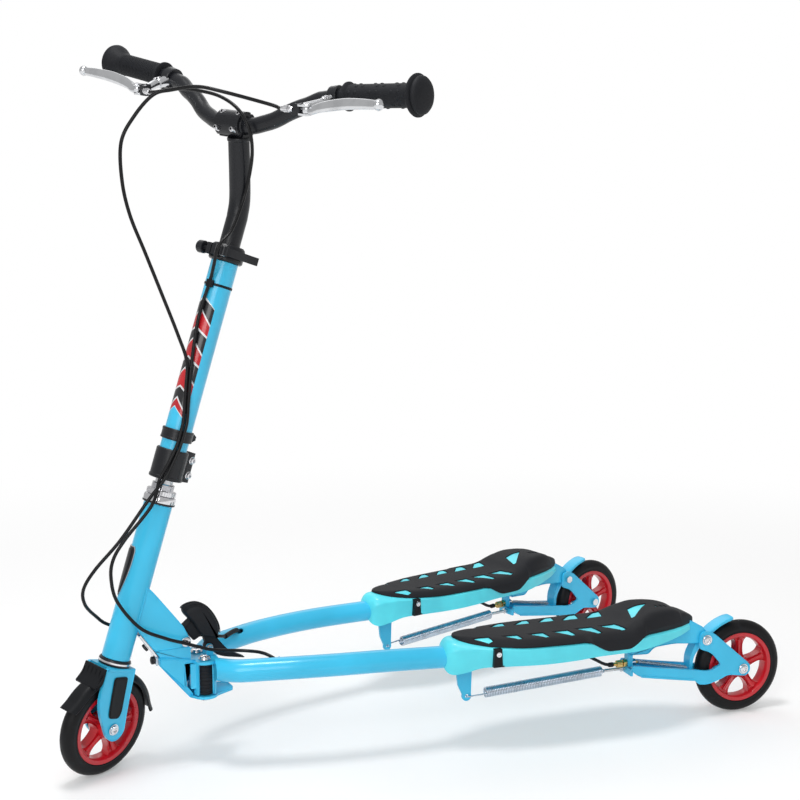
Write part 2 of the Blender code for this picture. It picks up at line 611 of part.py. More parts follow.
ARM_TUBE = [
    (0.0085, 0.0105, 0.1385), (0.0250, 0.0270, 0.1398), (0.0372, 0.0440, 0.1410), (0.0450, 0.0780, 0.1420),
    (0.0540, 0.1250, 0.1430), (0.0595, 0.1800, 0.1428), (0.0610, 0.2400, 0.1416), (0.0602, 0.3000, 0.1390),
    (0.0586, 0.3500, 0.1365), (ARM_LINE, 0.4000, 0.1340), (ARM_LINE, 0.6450, 0.1312),
]
NECK = [
    (0.6300, 0.1130), (0.6580, 0.1130), (0.6640, 0.1210), (0.7000, 0.1320), (0.7350, 0.1185),
    *arc((SUSPENSION_Y, SUSPENSION_Z), 0.0090, 215, 395, 7),
    (0.7510, 0.1460), (0.7268, 0.1590), (0.7000, 0.1650), (0.6600, 0.1500), (0.6300, 0.1480),
]


def arm_cable_holes():
    """Where the brake cable goes into the arm's tube in front and comes out under the deck."""
    front = tube([(0.0300, 0.0800, 0.1600), (0.0475, 0.1050, 0.1480)], 0.0042, 10)
    back = tube([(ADJUSTER_X - 0.0015, 0.5350, 0.1300), (ADJUSTER_X, 0.5800, 0.1065)], 0.0042, 10)
    return [front, back]


def arm(name, rig, side, looks):
    low, high = BARREL_Z
    shapes = [tube(smooth(ARM_TUBE[:10], 2) + ARM_TUBE[10:], ARM_TUBE_RADIUS, 14)]
    shapes.append(bar((0, 0, low), (0, 0, high), BARREL_RADIUS, 16))
    shapes.append(block((-0.0040, -0.0215, 0.1120), (0.0080, -0.0125, high)))
    shapes.append(profile_yz(NECK, -NECK_PLATE_X[1], NECK_PLATE_X[1], ARM_LINE))
    hook = [(0.3555, 0.1260), (0.3830, 0.1260), (0.3815, 0.1100), (0.3805, 0.0850)]
    hook += arc((0.3735, 0.0726), 0.0072, 20, -200, 7) + [(0.3600, 0.0900)]
    shapes.append(profile_yz(hook, -0.0020, 0.0020, SPRING_X))
    tab = [(0.6290, 0.1200), (0.6370, 0.1200), (0.6370, 0.0925), (0.6290, 0.0925)]
    shapes.append(profile_yz(tab, -0.0060, 0.0060, ADJUSTER_X))
    cap_room = bar((0, 0, high), (0, 0, 0.2), CAP_RADIUS + 0.0007, 20)
    bore = bar((0, 0, low - 0.01), (0, 0, high + 0.01), BUSH_RADIUS + GAP, 16)
    window = block((0.0070, -0.0112, low - 0.01), (0.0400, 0.0112, high + 0.02))
    hollow = tube(smooth(ARM_TUBE[1:10], 2) + [Vector((ARM_LINE, 0.6200, 0.1315))], ARM_TUBE_BORE, 10)
    bay = [(0.6480, 0.0900), (0.6480, 0.1440), (0.6620, 0.1465), (0.7000, 0.1610), (0.7268, 0.1550),
           (0.7400, 0.1480), (0.7400, 0.1700), (0.8000, 0.1700), (0.8000, 0.0900)]
    cuts = [cap_room, bore, window, hollow, profile_yz(bay, -NECK_PLATE_X[0], NECK_PLATE_X[0], ARM_LINE)]
    bolt = Vector((ARM_LINE, SUSPENSION_Y, SUSPENSION_Z))
    cuts.append(bar(bolt - X * 0.03, bolt + X * 0.03, AXLE_RADIUS + GAP, 10))
    cuts.append(bar((SPRING_X - 0.01, 0.3741, 0.0726), (SPRING_X + 0.01, 0.3741, 0.0726), 0.0027, 8))
    cuts.append(bar((ADJUSTER_X, 0.6200, ADJUSTER_Z), (ADJUSTER_X, 0.6450, ADJUSTER_Z), 0.0033, 8))
    node(name, rig, looks["blue"], shapes, cuts + arm_cable_holes(), side=side)


def pivot_bush(name, rig, side, looks):
    """The black bush in the arm's barrel, seen through the barrel's window."""
    shape = ring((0, 0, 0), Z, PIVOT_BOLT_RADIUS + GAP, BUSH_RADIUS, *BARREL_Z, 16)
    node(name, rig, looks["rubber"], [shape], side=side)


SHELL_STATIONS = [  # y, half width, skirt height, top height at the edge, top height in the middle
    (0.3330, 0.0090, 0.1270, 0.1430, 0.1500), (0.3365, 0.0180, 0.1190, 0.1480, 0.1590),
    (0.3450, 0.0245, 0.1165, 0.1530, 0.1645), (0.3620, 0.0300, 0.1200, 0.1555, 0.1640),
    (0.3850, 0.0380, 0.1270, 0.1550, 0.1625), (0.4200, 0.0495, 0.1290, 0.1545, 0.1620),
    (0.4700, 0.0575, 0.1285, 0.1535, 0.1610), (0.5600, 0.0590, 0.1275, 0.1530, 0.1610),
    (0.6200, 0.0580, 0.1275, 0.1530, 0.1610), (0.6600, 0.0510, 0.1275, 0.1530, 0.1610),
    (0.7000, 0.0370, 0.1310, 0.1525, 0.1600), (0.7260, 0.0225, 0.1400, 0.1500, 0.1560),
]
PAD_STATIONS = [  # y, half width, height of the edge, height in the middle
    (0.3503, 0.0050, 0.1658, 0.1690), (0.3580, 0.0150, 0.1640, 0.1690), (0.3750, 0.0275, 0.1605, 0.1685),
    (0.4100, 0.0440, 0.1580, 0.1670), (0.4600, 0.0555, 0.1570, 0.1660), (0.5500, 0.0575, 0.1570, 0.1660),
    (0.6000, 0.0570, 0.1570, 0.1670), (0.6250, 0.0555, 0.1590, 0.1770), (0.6480, 0.0520, 0.1640, 0.1868),
    (0.6700, 0.0460, 0.1660, 0.1870), (0.6900, 0.0390, 0.1640, 0.1828), (0.7050, 0.0320, 0.1620, 0.1775),
    (0.7200, 0.0220, 0.1600, 0.1700), (0.7402, 0.0060, 0.1555, 0.1600),
]
CROWN_SHARE = [(1.0, 0.0), (0.72, 0.62), (0.36, 0.92), (0.0, 1.0), (-0.36, 0.92), (-0.72, 0.62), (-1.0, 0.0)]


def neck_room():
    """The neck's shape, a little larger."""
    outline = [(0.6280, 0.1100), (0.8000, 0.1100), (0.8000, 0.1400), (0.7514, 0.1466), (0.7270, 0.1597),
               (0.7000, 0.1657), (0.6595, 0.1507), (0.6280, 0.1487)]
    return profile_yz(outline, -NECK_PLATE_X[1] - 0.0006, NECK_PLATE_X[1] + 0.0006, ARM_LINE)


def deck_shell(name, rig, side, looks):
    """A plastic tray: a crowned top with a skirt down both sides, open below over the tube."""
    outer, inner = [], []
    for y, half, skirt, edge, crown in SHELL_STATIONS:
        loop = [(half * a, edge + (crown - edge) * b) for a, b in CROWN_SHARE]
        loop += [(-half, skirt), (half, skirt)]
        outer.append([Vector((ARM_LINE + a, y, b)) for a, b in loop])
        if y < 0.34:
            continue
        wall = half - 0.0035
        loop = [(wall, edge - 0.0040), (0.0, crown - 0.0042), (-wall, edge - 0.0040)]
        loop += [(-wall, 0.1000), (wall, 0.1000)]
        inner.append([Vector((ARM_LINE + a, y, b)) for a, b in loop])
    inner.append([point + Y * 0.0200 for point in inner[-1]])
    tube_room = tube(smooth(ARM_TUBE[7:10], 2) + ARM_TUBE[10:], ARM_TUBE_RADIUS + 0.0008, 14)
    node(name, rig, looks["shell"], [loft(outer)], [loft(inner), tube_room, neck_room()], side=side)


def shell_top(y, x):
    """The height of the shell's top at a place in the arm frame, x from the arm's line."""
    for near, far in zip(SHELL_STATIONS, SHELL_STATIONS[1:]):
        if near[0] <= y <= far[0]:
            break
    share = min((y - near[0]) / (far[0] - near[0]), 1.0)
    half, edge, crown = [near[k] + (far[k] - near[k]) * share for k in (1, 3, 4)]
    across = min(abs(x) / half, 1.0)
    for (a, b), (c, d) in zip(CROWN_SHARE[:3], CROWN_SHARE[1:4]):
        if c <= across <= a:
            return edge + (crown - edge) * (b + (d - b) * (a - across) / (a - c))
    return edge


def deck_pad(name, rig, side, looks):
    """The rubber tread, with a raised heel over the back of the shell."""
    rings = []
    for y, half, edge, crown in PAD_STATIONS:
        over = [(half * a, edge + (crown - edge) * b) for a, b in CROWN_SHARE]
        under = [(half * a, shell_top(y, half * a) + 0.0016) for a, _ in reversed(CROWN_SHARE)]
        loop = over + [(a, min(b, edge - 0.0006)) if abs(a) > half * 0.9 else (a, b) for a, b in under]
        rings.append([Vector((ARM_LINE + a, y, b)) for a, b in loop])
    node(name, rig, looks["rubber"], [loft(rings)], [neck_room()], side=side)


def cable_adjuster(name, rig, side, looks):
    at = Vector((ADJUSTER_X, 0.0, ADJUSTER_Z))
    shapes = [bar(at + Y * 0.6060, at + Y * 0.6480, 0.0029, 8)]
    shapes.append(bar(at + Y * 0.6120, at + Y * 0.6220, 0.0052, 10))
    shapes.append(bar(at + Y * 0.6230, at + Y * 0.6286, 0.0058, 6))
    shapes.append(bar(at + Y * 0.6374, at + Y * 0.6430, 0.0055, 6))
    node(name, rig, looks["brass"], shapes, side=side)


def swing_arm(name, rig, side, looks):
    outline = [(0.7470, 0.1365), (0.7590, 0.1395), (0.7705, 0.1338), (0.8342, 0.0788), (0.8347, 0.0678),
               (0.8267, 0.0608), (0.7907, 0.0558), (0.7660, 0.0500), (0.7460, 0.0530), (0.6400, 0.0765),
               (0.6290, 0.0850), (0.6300, 0.0930), (0.7380, 0.0825), (0.7650, 0.0830), (0.7900, 0.0830),
               (0.7780, 0.0980), (0.7450, 0.1120)]
    low, high = SWING_PLATE_X
    shapes = [profile_yz(outline, -high, -low, ARM_LINE), profile_yz(outline, low, high, ARM_LINE)]
    floor = [(0.6300, 0.0842), (0.6400, 0.0772), (0.7300, 0.0590), (0.7300, 0.0628), (0.6420, 0.0795),
             (0.6345, 0.0820)]
    shapes.append(profile_yz(floor, -0.0180, 0.0180, ARM_LINE))
    shapes.append(block((ARM_LINE - 0.0180, 0.6301, 0.0805), (ARM_LINE + 0.0180, 0.6341, 0.0905)))
    cuts = []
    for y, z in ((SUSPENSION_Y, SUSPENSION_Z), (REAR_AXLE_Y, WHEEL_RADIUS)):
        cuts.append(bar((ARM_LINE - 0.04, y, z), (ARM_LINE + 0.04, y, z), AXLE_RADIUS + GAP, 10))
    cuts.append(bar((SPRING_X, 0.62, 0.0866), (SPRING_X, 0.65, 0.0866), 0.0028, 8))
    node(name, rig, looks["blue"], shapes, cuts, side=side)


def spring(name, rig, side, looks):
    """The extension spring as the plain sleeve that its coils fill, with a hook at the front."""
    shapes = [bar((SPRING_X, 0.4014, 0.0745), (SPRING_X, 0.5918, 0.0863), SPRING_RADIUS, 14)]
    hook = [(0.0, 0.4030, 0.0746), (0.0040, 0.3900, 0.0738), (0.0046, 0.3780, 0.0728)]
    hook += [(0.0038, 0.3743, 0.0726), (-0.0042, 0.3741, 0.0726)]
    shapes.append(tube([(SPRING_X + a, b, c) for a, b, c in hook], 0.0012, 6))
    node(name, rig, looks["steel"], shapes, side=side)


def eye_bolt(name, rig, side, looks):
    shapes = [bar((SPRING_X, 0.5924, 0.0864), (SPRING_X, 0.6460, 0.0866), 0.0024, 8)]
    shapes.append(bar((SPRING_X, 0.6230, 0.0866), (SPRING_X, 0.6296, 0.0866), 0.0046, 6))
    shapes.append(bar((SPRING_X, 0.6346, 0.0866), (SPRING_X, 0.6390, 0.0866), 0.0040, 6))
    node(name, rig, looks["steel"], shapes, side=side)


def brake_arm(name, rig, side, looks):
    """A rocker on the suspension bolt: its tail takes the cable, its fin presses the tyre."""
    hub = (REAR_AXLE_Y, WHEEL_RADIUS)
    width = BRAKE_HALF_WIDTH
    fin = arc(hub, 0.0825, 101, 139, 7) + arc(hub, 0.0765, 139, 101, 7)
    shapes = [profile_yz(fin, -width, width, ARM_LINE)]
    bolt = Vector((ARM_LINE, SUSPENSION_Y, SUSPENSION_Z))
    shapes.append(bar(bolt - X * width, bolt + X * width, 0.0085, 14))
    root = arc((SUSPENSION_Y, SUSPENSION_Z), 0.0084, 200, 100, 4) + [(0.7640, 0.1345), (0.7680, 0.1310)]
    shapes.append(profile_yz(root, -width, width, ARM_LINE))
    tail = [(0.7500, 0.1280), (0.7560, 0.1170), (0.7410, 0.0950), (0.7395, 0.0745), (0.7345, 0.0745),
            (0.7350, 0.0980)]
    shapes.append(profile_yz(tail, -0.0090, 0.0090, ARM_LINE))
    cuts = [bar((ARM_LINE - 0.04, SUSPENSION_Y, SUSPENSION_Z), (ARM_LINE + 0.04, SUSPENSION_Y, SUSPENSION_Z),
                AXLE_RADIUS + GAP, 10)]
    cuts.append(turned([(0.001, -0.03), (0.0752, -0.03), (0.0752, 0.03), (0.001, 0.03)],
                       (ARM_LINE, hub[0], hub[1]), X, 32))
    node(name, rig, looks["blue"], shapes, cuts, side=side)


def return_spring(name, rig, side, looks):
    start, end = Vector((ADJUSTER_X, 0.6495, 0.0968)), Vector((ADJUSTER_X, 0.7338, 0.0790))
    node(name, rig, looks["steel"], [bar(start, end, 0.0025, 8)], side=side)


# Brake cables: from the lever down the front of the stem, round the head tube and into the arm's tube


UPPER_ROUTE = {  # in the steering frame
    "left": [
        (0.1128, -0.0962, 0.9400), (0.1000, -0.1020, 0.9420), (0.0600, -0.1480, 0.9390),
        (0.0300, -0.1650, 0.9370), (0.0, -0.1770, 0.9260), (-0.0200, -0.1870, 0.9140),
        (-0.0300, -0.1990, 0.8810), (-0.0350, -0.2040, 0.8440), (-0.0350, -0.1860, 0.7990),
        (-0.0300, -0.1620, 0.7600), (-0.0220, -0.1270, 0.7200), (-0.0120, -0.0920, 0.6780),
        (0.0, -0.0500, 0.6270), (0.0040, -0.0260, 0.5950), (0.0045, -0.0233, 0.5600),
        (0.0045, -0.0235, 0.5200), (0.0048, -0.0258, 0.5060), (0.0070, -0.0262, 0.4810),
        (0.0130, -0.0250, 0.4550), (0.0240, -0.0215, 0.4300),
    ],
    "right": [
        (-0.1288, -0.0961, 0.9400), (-0.1150, -0.0985, 0.9405), (-0.0799, -0.0796, 0.9599),
        (-0.0485, -0.0563, 0.9640), (-0.0254, -0.0425, 0.9560), (-0.0100, -0.0240, 0.9420),
        (-0.0020, -0.0195, 0.9270), (0.0110, -0.0165, 0.9000), (0.0200, -0.0170, 0.8720),
        (0.0210, -0.0185, 0.8070), (0.0225, -0.0330, 0.7750), (0.0225, -0.0385, 0.7560),
        (0.0080, -0.0290, 0.7300), (0.0, -0.0226, 0.7100), (-0.0030, -0.0226, 0.6600),
        (-0.0035, -0.0228, 0.6000), (-0.0035, -0.0228, 0.5500), (-0.0035, -0.0232, 0.5200),
        (-0.0030, -0.0260, 0.5060), (-0.0010, -0.0266, 0.4810), (0.0040, -0.0272, 0.4550),
        (0.0120, -0.0270, 0.4340),
    ],
}
LOWER_ROUTE = {  # in the world frame
    "left": [
        (0.0380, -0.4080, 0.3840), (0.0400, -0.4470, 0.3410), (0.0400, -0.4640, 0.3150),
        (0.0380, -0.4670, 0.2880), (0.0340, -0.4580, 0.2540), (0.0300, -0.4270, 0.2130),
        (0.0290, -0.3920, 0.1930), (0.0300, -0.3640, 0.1820), (0.0300, -0.3470, 0.1750),
        (0.0300, -0.3210, 0.1660),
    ],
    "right": [
        (0.0260, -0.4090, 0.3890), (0.0240, -0.4490, 0.3370), (0.0200, -0.4840, 0.2990),
        (0.0100, -0.4980, 0.2710), (0.0, -0.4940, 0.2470), (-0.0200, -0.4750, 0.2230),
        (-0.0300, -0.4560, 0.2060), (-0.0310, -0.4200, 0.1930), (-0.0270, -0.3850, 0.1850),
        (-0.0240, -0.3500, 0.1780), (-0.0210, -0.3200, 0.1730), (-0.0230, -0.3000, 0.1680),
    ],
}
ARM_ROUTE = [
    (0.0120, 0.0560, 0.1610), (0.0300, 0.0800, 0.1600), (0.0475, 0.1050, 0.1480), (0.0560, 0.1400, 0.1430),
    (0.0600, 0.2100, 0.1424), (0.0600, 0.3000, 0.1390), (ARM_LINE, 0.4000, 0.1340),
    (ARM_LINE, 0.5000, 0.1330), (ADJUSTER_X - 0.0015, 0.5400, 0.1275), (ADJUSTER_X, 0.5747, 0.1095),
    (ADJUSTER_X, 0.5930, 0.0995), (ADJUSTER_X, 0.6052, ADJUSTER_Z),
]


def brake_cable(word, side, root, steering, arm_place, looks):
    route = [steering @ Vector(point) for point in UPPER_ROUTE[word]]
    route += [Vector(point) for point in LOWER_ROUTE[word]]
    route += [arm_place @ Vector((side * x, y, z)) for x, y, z in ARM_ROUTE]
    node(f"{word}_brake_cable", root, looks["rubber"], [tube(smooth(route, 2), CABLE_RADIUS, 6)])


def build():
    for old in list(bpy.data.objects):
        bpy.data.objects.remove(old, do_unlink=True)
    looks = all_finishes()

    lean = math.asin(math.sin(STEER_REST) * math.sin(RAKE))
    hub_z = (WHEEL_RADIUS - TYRE_HALF_WIDTH) * math.cos(lean) + TYRE_HALF_WIDTH
    hub_t = (hub_z + FORK_OFFSET * math.cos(STEER_REST) * math.sin(RAKE)) / math.cos(RAKE)

    raked = Matrix.Translation((0, STEER_FOOT_Y, 0)) @ Matrix.Rotation(-RAKE, 4, "X")
    steered = raked @ Matrix.Rotation(STEER_REST, 4, "Z")
    root = Rig("scissor_bracket_frame", Matrix.Translation((CENTRE_X, 0, 0)))
    fold = Rig("fold_axis", Matrix.Translation(FOLD_PIN), root, FOLD_PIN)
    steering = Rig("steering_axis", steered, fold)
    bars = Rig("height_slide", Matrix.Translation((BAR_SHIFT, 0, 0)), steering)
    front_wheel = Rig("front_wheel_axis", Matrix.Translation((0, FORK_OFFSET, hub_t)), steering)
    release_at = Vector((0.0185, -0.0270, sum(COLLAR_T) / 2))
    release = Rig("quick_release_axis", Matrix.Translation(release_at), steering, release_at)
    pedal = Rig("pedal_axis", Matrix.Translation(PEDAL_PIN), root, PEDAL_PIN)

    front_frame(fold, raked, looks)
    pivot_bracket(root, looks)
    fold_pin(root, looks)
    latch_plate(root, looks)
    pedal_pin(root, looks)
    fold_pedal(pedal, looks)

    fork(steering, hub_t, looks)
    front_fender(steering, hub_t, looks)
    axle("front_axle", steering, (0, FORK_OFFSET, hub_t), FORK_LEG_X[1], looks)
    lock_ring(steering, looks)
    stem_clamp(steering, looks)
    stem_tube(steering, looks)
    ring_clamp(steering, looks)
    seat_collar(steering, looks)
    quick_release(release, looks)
    tyre("front_tyre", front_wheel, looks)
    rim("front_rim", front_wheel, looks)

    handle_post(bars, looks)
    bar_clamp(bars, looks)
    handlebar(bars, looks)

    for word, side in (("left", 1), ("right", -1)):
        grip(f"{word}_grip", bars, side, looks)
        lever_bracket(f"{word}_lever_bracket", bars, side, looks)
        at = Vector((side * LEVER_PIVOT.x, LEVER_PIVOT.y, LEVER_PIVOT.z))
        lever = Rig(f"{word}_lever_axis", Matrix.Translation(at), bars, at)
        brake_lever(f"{word}_brake_lever", lever, side, looks)
        arm_place = Matrix.Translation((side * PIVOT_X, PIVOT_Y, 0))
        arm_place = arm_place @ Matrix.Rotation(-side * ARM_REST, 4, "Z")
        brake_cable(word, side, root, steered, arm_place, looks)
        rear_arm(word, side, root, arm_place, looks)


def rear_arm(word, side, root, place, looks):
    arm_rig = Rig(f"{word}_arm_axis", place, root)
    bend = Vector((side * ARM_LINE, SUSPENSION_Y, SUSPENSION_Z))
    swing = Rig(f"{word}_suspension_axis", Matrix.Translation(bend), arm_rig, bend)
    shoe = Rig(f"{word}_brake_axis", Matrix.Translation(bend), swing, bend)
    hub = Vector((side * ARM_LINE, REAR_AXLE_Y, WHEEL_RADIUS))
    wheel = Rig(f"{word}_wheel_axis", Matrix.Translation(hub), swing)

    pivot_bolt(f"{word}_pivot_bolt", root, side, looks)
    arm(f"{word}_arm", arm_rig, side, looks)
    pivot_bush(f"{word}_pivot_bush", arm_rig, side, looks)
    deck_shell(f"{word}_deck_shell", arm_rig, side, looks)
    deck_pad(f"{word}_deck_pad", arm_rig, side, looks)
    cable_adjuster(f"{word}_cable_adjuster", arm_rig, side, looks)
    at = (ARM_LINE, SUSPENSION_Y, SUSPENSION_Z)
    axle(f"{word}_suspension_bolt", arm_rig, at, SWING_PLATE_X[1], looks, side)
    swing_arm(f"{word}_swing_arm", swing, side, looks)
    spring(f"{word}_spring", arm_rig, side, looks)
    eye_bolt(f"{word}_eye_bolt", swing, side, looks)
    brake_arm(f"{word}_brake_arm", shoe, side, looks)
    return_spring(f"{word}_return_spring", arm_rig, side, looks)
    axle(f"{word}_axle", swing, (ARM_LINE, REAR_AXLE_Y, WHEEL_RADIUS), SWING_PLATE_X[1], looks, side)
    tyre(f"{word}_tyre", wheel, looks)
    rim(f"{word}_rim", wheel, looks)


build()
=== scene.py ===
import bpy
import numpy as np
from mathutils import Matrix


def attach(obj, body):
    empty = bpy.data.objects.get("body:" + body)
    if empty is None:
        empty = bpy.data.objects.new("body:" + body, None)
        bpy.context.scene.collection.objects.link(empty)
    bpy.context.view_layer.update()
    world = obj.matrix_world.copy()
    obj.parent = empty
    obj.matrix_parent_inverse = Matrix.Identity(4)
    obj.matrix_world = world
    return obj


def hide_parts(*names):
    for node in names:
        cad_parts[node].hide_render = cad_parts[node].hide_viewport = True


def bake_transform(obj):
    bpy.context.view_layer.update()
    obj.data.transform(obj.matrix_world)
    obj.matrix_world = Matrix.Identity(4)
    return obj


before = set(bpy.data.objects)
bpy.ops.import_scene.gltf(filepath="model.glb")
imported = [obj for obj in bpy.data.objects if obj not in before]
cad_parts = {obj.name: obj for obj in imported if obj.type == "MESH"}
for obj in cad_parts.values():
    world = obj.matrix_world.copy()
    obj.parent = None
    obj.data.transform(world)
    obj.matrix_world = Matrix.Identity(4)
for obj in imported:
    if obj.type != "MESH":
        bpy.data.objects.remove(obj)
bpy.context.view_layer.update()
print("packed scooter loaded:", len(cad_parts), "nodes")

# Where the parts of the scooter sit. Each place is a 4x4 matrix from its own axes to the floor's.

scooter = {
    "middleX": -0.012,
    "steerFootY": -0.507,  # where the steering axis meets the floor
    "rake": 17.53,
    "parkedTurn": 26.88,
    "barShift": -0.008,
    "pivotX": 0.0185,
    "pivotY": -0.3323,
    "armOpen": 9.0,
    "armLine": 0.0578,  # from the pivot out to the line of the footboard
}


def shift(x, y, z):
    matrix = np.eye(4)
    matrix[:3, 3] = (x, y, z)
    return matrix


def spin(axis, degrees):
    # a turn about X, Y or Z
    c, s = np.cos(np.radians(degrees)), np.sin(np.radians(degrees))
    matrix = np.eye(4)
    j, k = [(1, 2), (2, 0), (0, 1)]["XYZ".index(axis)]
    matrix[j, j], matrix[j, k], matrix[k, j], matrix[k, k] = c, -s, s, c
    return matrix


def armPlace(side):
    place = shift(scooter["middleX"] + side * scooter["pivotX"], scooter["pivotY"], 0)
    return place @ spin("Z", -side * scooter["armOpen"]) @ np.diag([side, 1, 1, 1])


bracketPlace = shift(scooter["middleX"], 0, 0)
headPlace = bracketPlace @ shift(0, scooter["steerFootY"], 0) @ spin("X", -scooter["rake"])
steerPlace = headPlace @ spin("Z", scooter["parkedTurn"])
barPlace = steerPlace @ shift(scooter["barShift"], 0, 0)
armPlaces = {"left": armPlace(1), "right": armPlace(-1)}


def at(place, points):
    points = np.asarray(points, float)
    return points @ place[:3, :3].T + place[:3, 3]


# Shapes: each is a pair of points and faces, closed, with its faces turned outwards.


def spline(points, steps):
    # Catmull-Rom: each stretch is the cubic that meets its neighbours' slopes
    p = np.asarray(points, float)
    p = np.vstack([2 * p[0] - p[1], p, 2 * p[-1] - p[-2]])
    a, b, c, d = (p[k:len(p) - 3 + k, None] for k in range(4))
    s = (np.arange(steps) / steps)[None, :, None]
    curve = 0.5 * (2 * b + (c - a) * s + (2 * a - 5 * b + 4 * c - d) * s**2 + (3 * b - a - 3 * c + d) * s**3)
    return np.vstack([curve.reshape(-1, p.shape[1]), p[-2:-1]])


def arc(centre, radius, start, end, steps):
    angle = np.radians(np.linspace(start, end, steps + 1))
    return np.column_stack([centre[0] + radius * np.cos(angle), centre[1] + radius * np.sin(angle)])


def unit(vectors):
    return vectors / np.maximum(np.linalg.norm(vectors, axis=-1, keepdims=True), 1e-12)


def closed(points, quads, caps=()):
    # the signed volume of the fans from each face's first corner says which way the faces look
    points = np.asarray(points, float)
    faces = [list(map(int, face)) for face in quads] + [list(map(int, cap)) for cap in caps]
    quads = np.asarray(quads)
    p = points - points.mean(axis=0)
    corners = p[quads]
    volume = np.einsum("ij,ij->i", corners[:, 0], np.cross(corners[:, 1], corners[:, 2])).sum()
    volume += np.einsum("ij,ij->i", corners[:, 0], np.cross(corners[:, 2], corners[:, 3])).sum()
    for cap in caps:
        fan = p[np.asarray(cap)]
        volume += np.einsum("ij,ij->i", np.repeat(fan[:1], len(fan) - 2, 0), np.cross(fan[1:-1], fan[2:])).sum()
    return points, faces if volume >= 0 else [face[::-1] for face in faces]


def skin(rings, loop=False):
    # rings: rows x columns x 3; columns close round, and rows too when loop is set
    rings = np.asarray(rings, float)
    rows, columns = rings.shape[:2]
    index = np.arange(rows * columns).reshape(rows, columns)
    ahead = np.roll(index, -1, axis=1)
    last = rows if loop else rows - 1
    below = np.roll(index, -1, axis=0)
    belowAhead = np.roll(ahead, -1, axis=0)
    quads = np.stack([index, ahead, belowAhead, below], axis=-1)[:last].reshape(-1, 4)
    caps = [] if loop else [index[0][::-1], index[-1]]
    return closed(rings.reshape(-1, 3), quads, caps)


def alongPath(path):
    # one pair of crosswise directions for each point, carried on without twist
    ahead = unit(np.gradient(path, axis=0))
    side = np.cross(ahead[0], [0.0, 0.0, 1.0] if abs(ahead[0][2]) < 0.9 else [1.0, 0.0, 0.0])
    sides = []
    for direction in ahead:
        side = side - direction * (side @ direction)
        side = side / np.linalg.norm(side)
        sides.append(side)
    sides = np.array(sides)
    return sides, np.cross(ahead, sides)


def tube(path, radius, sides=20, squeeze=1.0):
    # a circle of the given radius, or radii, carried along the path
    path = np.asarray(path, float)
    across, up = alongPath(path)
    radius = np.broadcast_to(np.asarray(radius, float), (len(path),))[:, None, None]
    turn = np.linspace(0, 2 * np.pi, sides, endpoint=False)[None, :, None]
    ring = np.cos(turn) * across[:, None] + np.sin(turn) * up[:, None] * squeeze
    return skin(path[:, None] + radius * ring)


def rod(start, end, radius, sides=20, edge=0.0005):
    # a straight round bar with a small chamfer at both ends
    start, end = np.asarray(start, float), np.asarray(end, float)
    axis = unit(end - start)
    path = [start, start + axis * edge, end - axis * edge, end]
    return tube(path, [radius - edge, radius, radius, radius - edge], sides)


def turned(profile, foot=(0, 0, 0), axis=(0, 0, 1), sides=48, loop=True):
    # (radius, height) pairs turned about an axis
    profile = np.asarray(profile, float)
    axis = unit(np.asarray(axis, float))
    across = unit(np.cross(axis, [1.0, 0, 0] if abs(axis[0]) < 0.9 else [0, 1.0, 0]))
    up = np.cross(axis, across)
    turn = np.linspace(0, 2 * np.pi, sides, endpoint=False)[None, :, None]
    ring = np.cos(turn) * across + np.sin(turn) * up
    radius, height = profile[:, 0, None, None], profile[:, 1, None, None]
    return skin(np.asarray(foot, float) + radius * ring + height * axis, loop)


def inset(outline, depth):
    # every corner moves inwards by the same distance from both its edges
    outline = np.asarray(outline, float)
    x, y = outline.T
    turn = np.sign(np.sum(x * np.roll(y, -1) - np.roll(x, -1) * y))
    after = unit(np.roll(outline, -1, axis=0) - outline)
    before = np.roll(after, 1, axis=0)
    normal = unit(turn * np.column_stack([-(before + after)[:, 1], (before + after)[:, 0]]))
    spread = np.sqrt(np.clip((1 + np.sum(before * after, axis=1)) / 2, 0.35, 1))
    return outline + normal * (depth / spread)[:, None]


def rounded(outline, radius, steps=4):
    # each corner gives way to a curve that starts and ends at the same distance from it
    outline = np.asarray(outline, float)
    radius = np.broadcast_to(np.asarray(radius, float), (len(outline),))[:, None]
    back, on = np.roll(outline, 1, axis=0) - outline, np.roll(outline, -1, axis=0) - outline
    backLength, onLength = np.linalg.norm(back, axis=1)[:, None], np.linalg.norm(on, axis=1)[:, None]
    reach = np.minimum(radius, 0.45 * np.minimum(backLength, onLength))
    start, end = outline + back / backLength * reach, outline + on / onLength * reach
    s = np.linspace(0, 1, steps + 1)[None, :, None]
    curve = (1 - s) ** 2 * start[:, None] + 2 * s * (1 - s) * outline[:, None] + s**2 * end[:, None]
    return curve.reshape(-1, 2)


def slab(outline, low, high, edge=0.0008, plane="yz", middle=0.0):
    # an outline given thickness across its plane, its edges eased by a quarter circle
    outline = np.asarray(outline, float)
    bend = np.linspace(0, np.pi / 2, 3)
    levels = np.concatenate([low + edge * (1 - np.sin(bend)), high - edge * (1 - np.sin(bend[::-1]))])
    depths = np.concatenate([edge * (1 - np.cos(np.pi / 2 - bend)), edge * (1 - np.cos(np.pi / 2 - bend[::-1]))])
    rings = []
    for level, depth in zip(levels, depths):
        flat = inset(outline, depth)
        height = np.full(len(flat), level + middle)
        columns = {"yz": (height, flat[:, 0], flat[:, 1]), "xy": (flat[:, 0], flat[:, 1], height),
                   "xz": (flat[:, 0], height, flat[:, 1])}[plane]
        rings.append(np.column_stack(columns))
    return skin(rings)


def box(low, high, edge=0.0008):
    outline = [(low[0], low[1]), (high[0], low[1]), (high[0], high[1]), (low[0], high[1])]
    return slab(rounded(outline, 2 * edge, 3), low[2], high[2], edge, "xy")


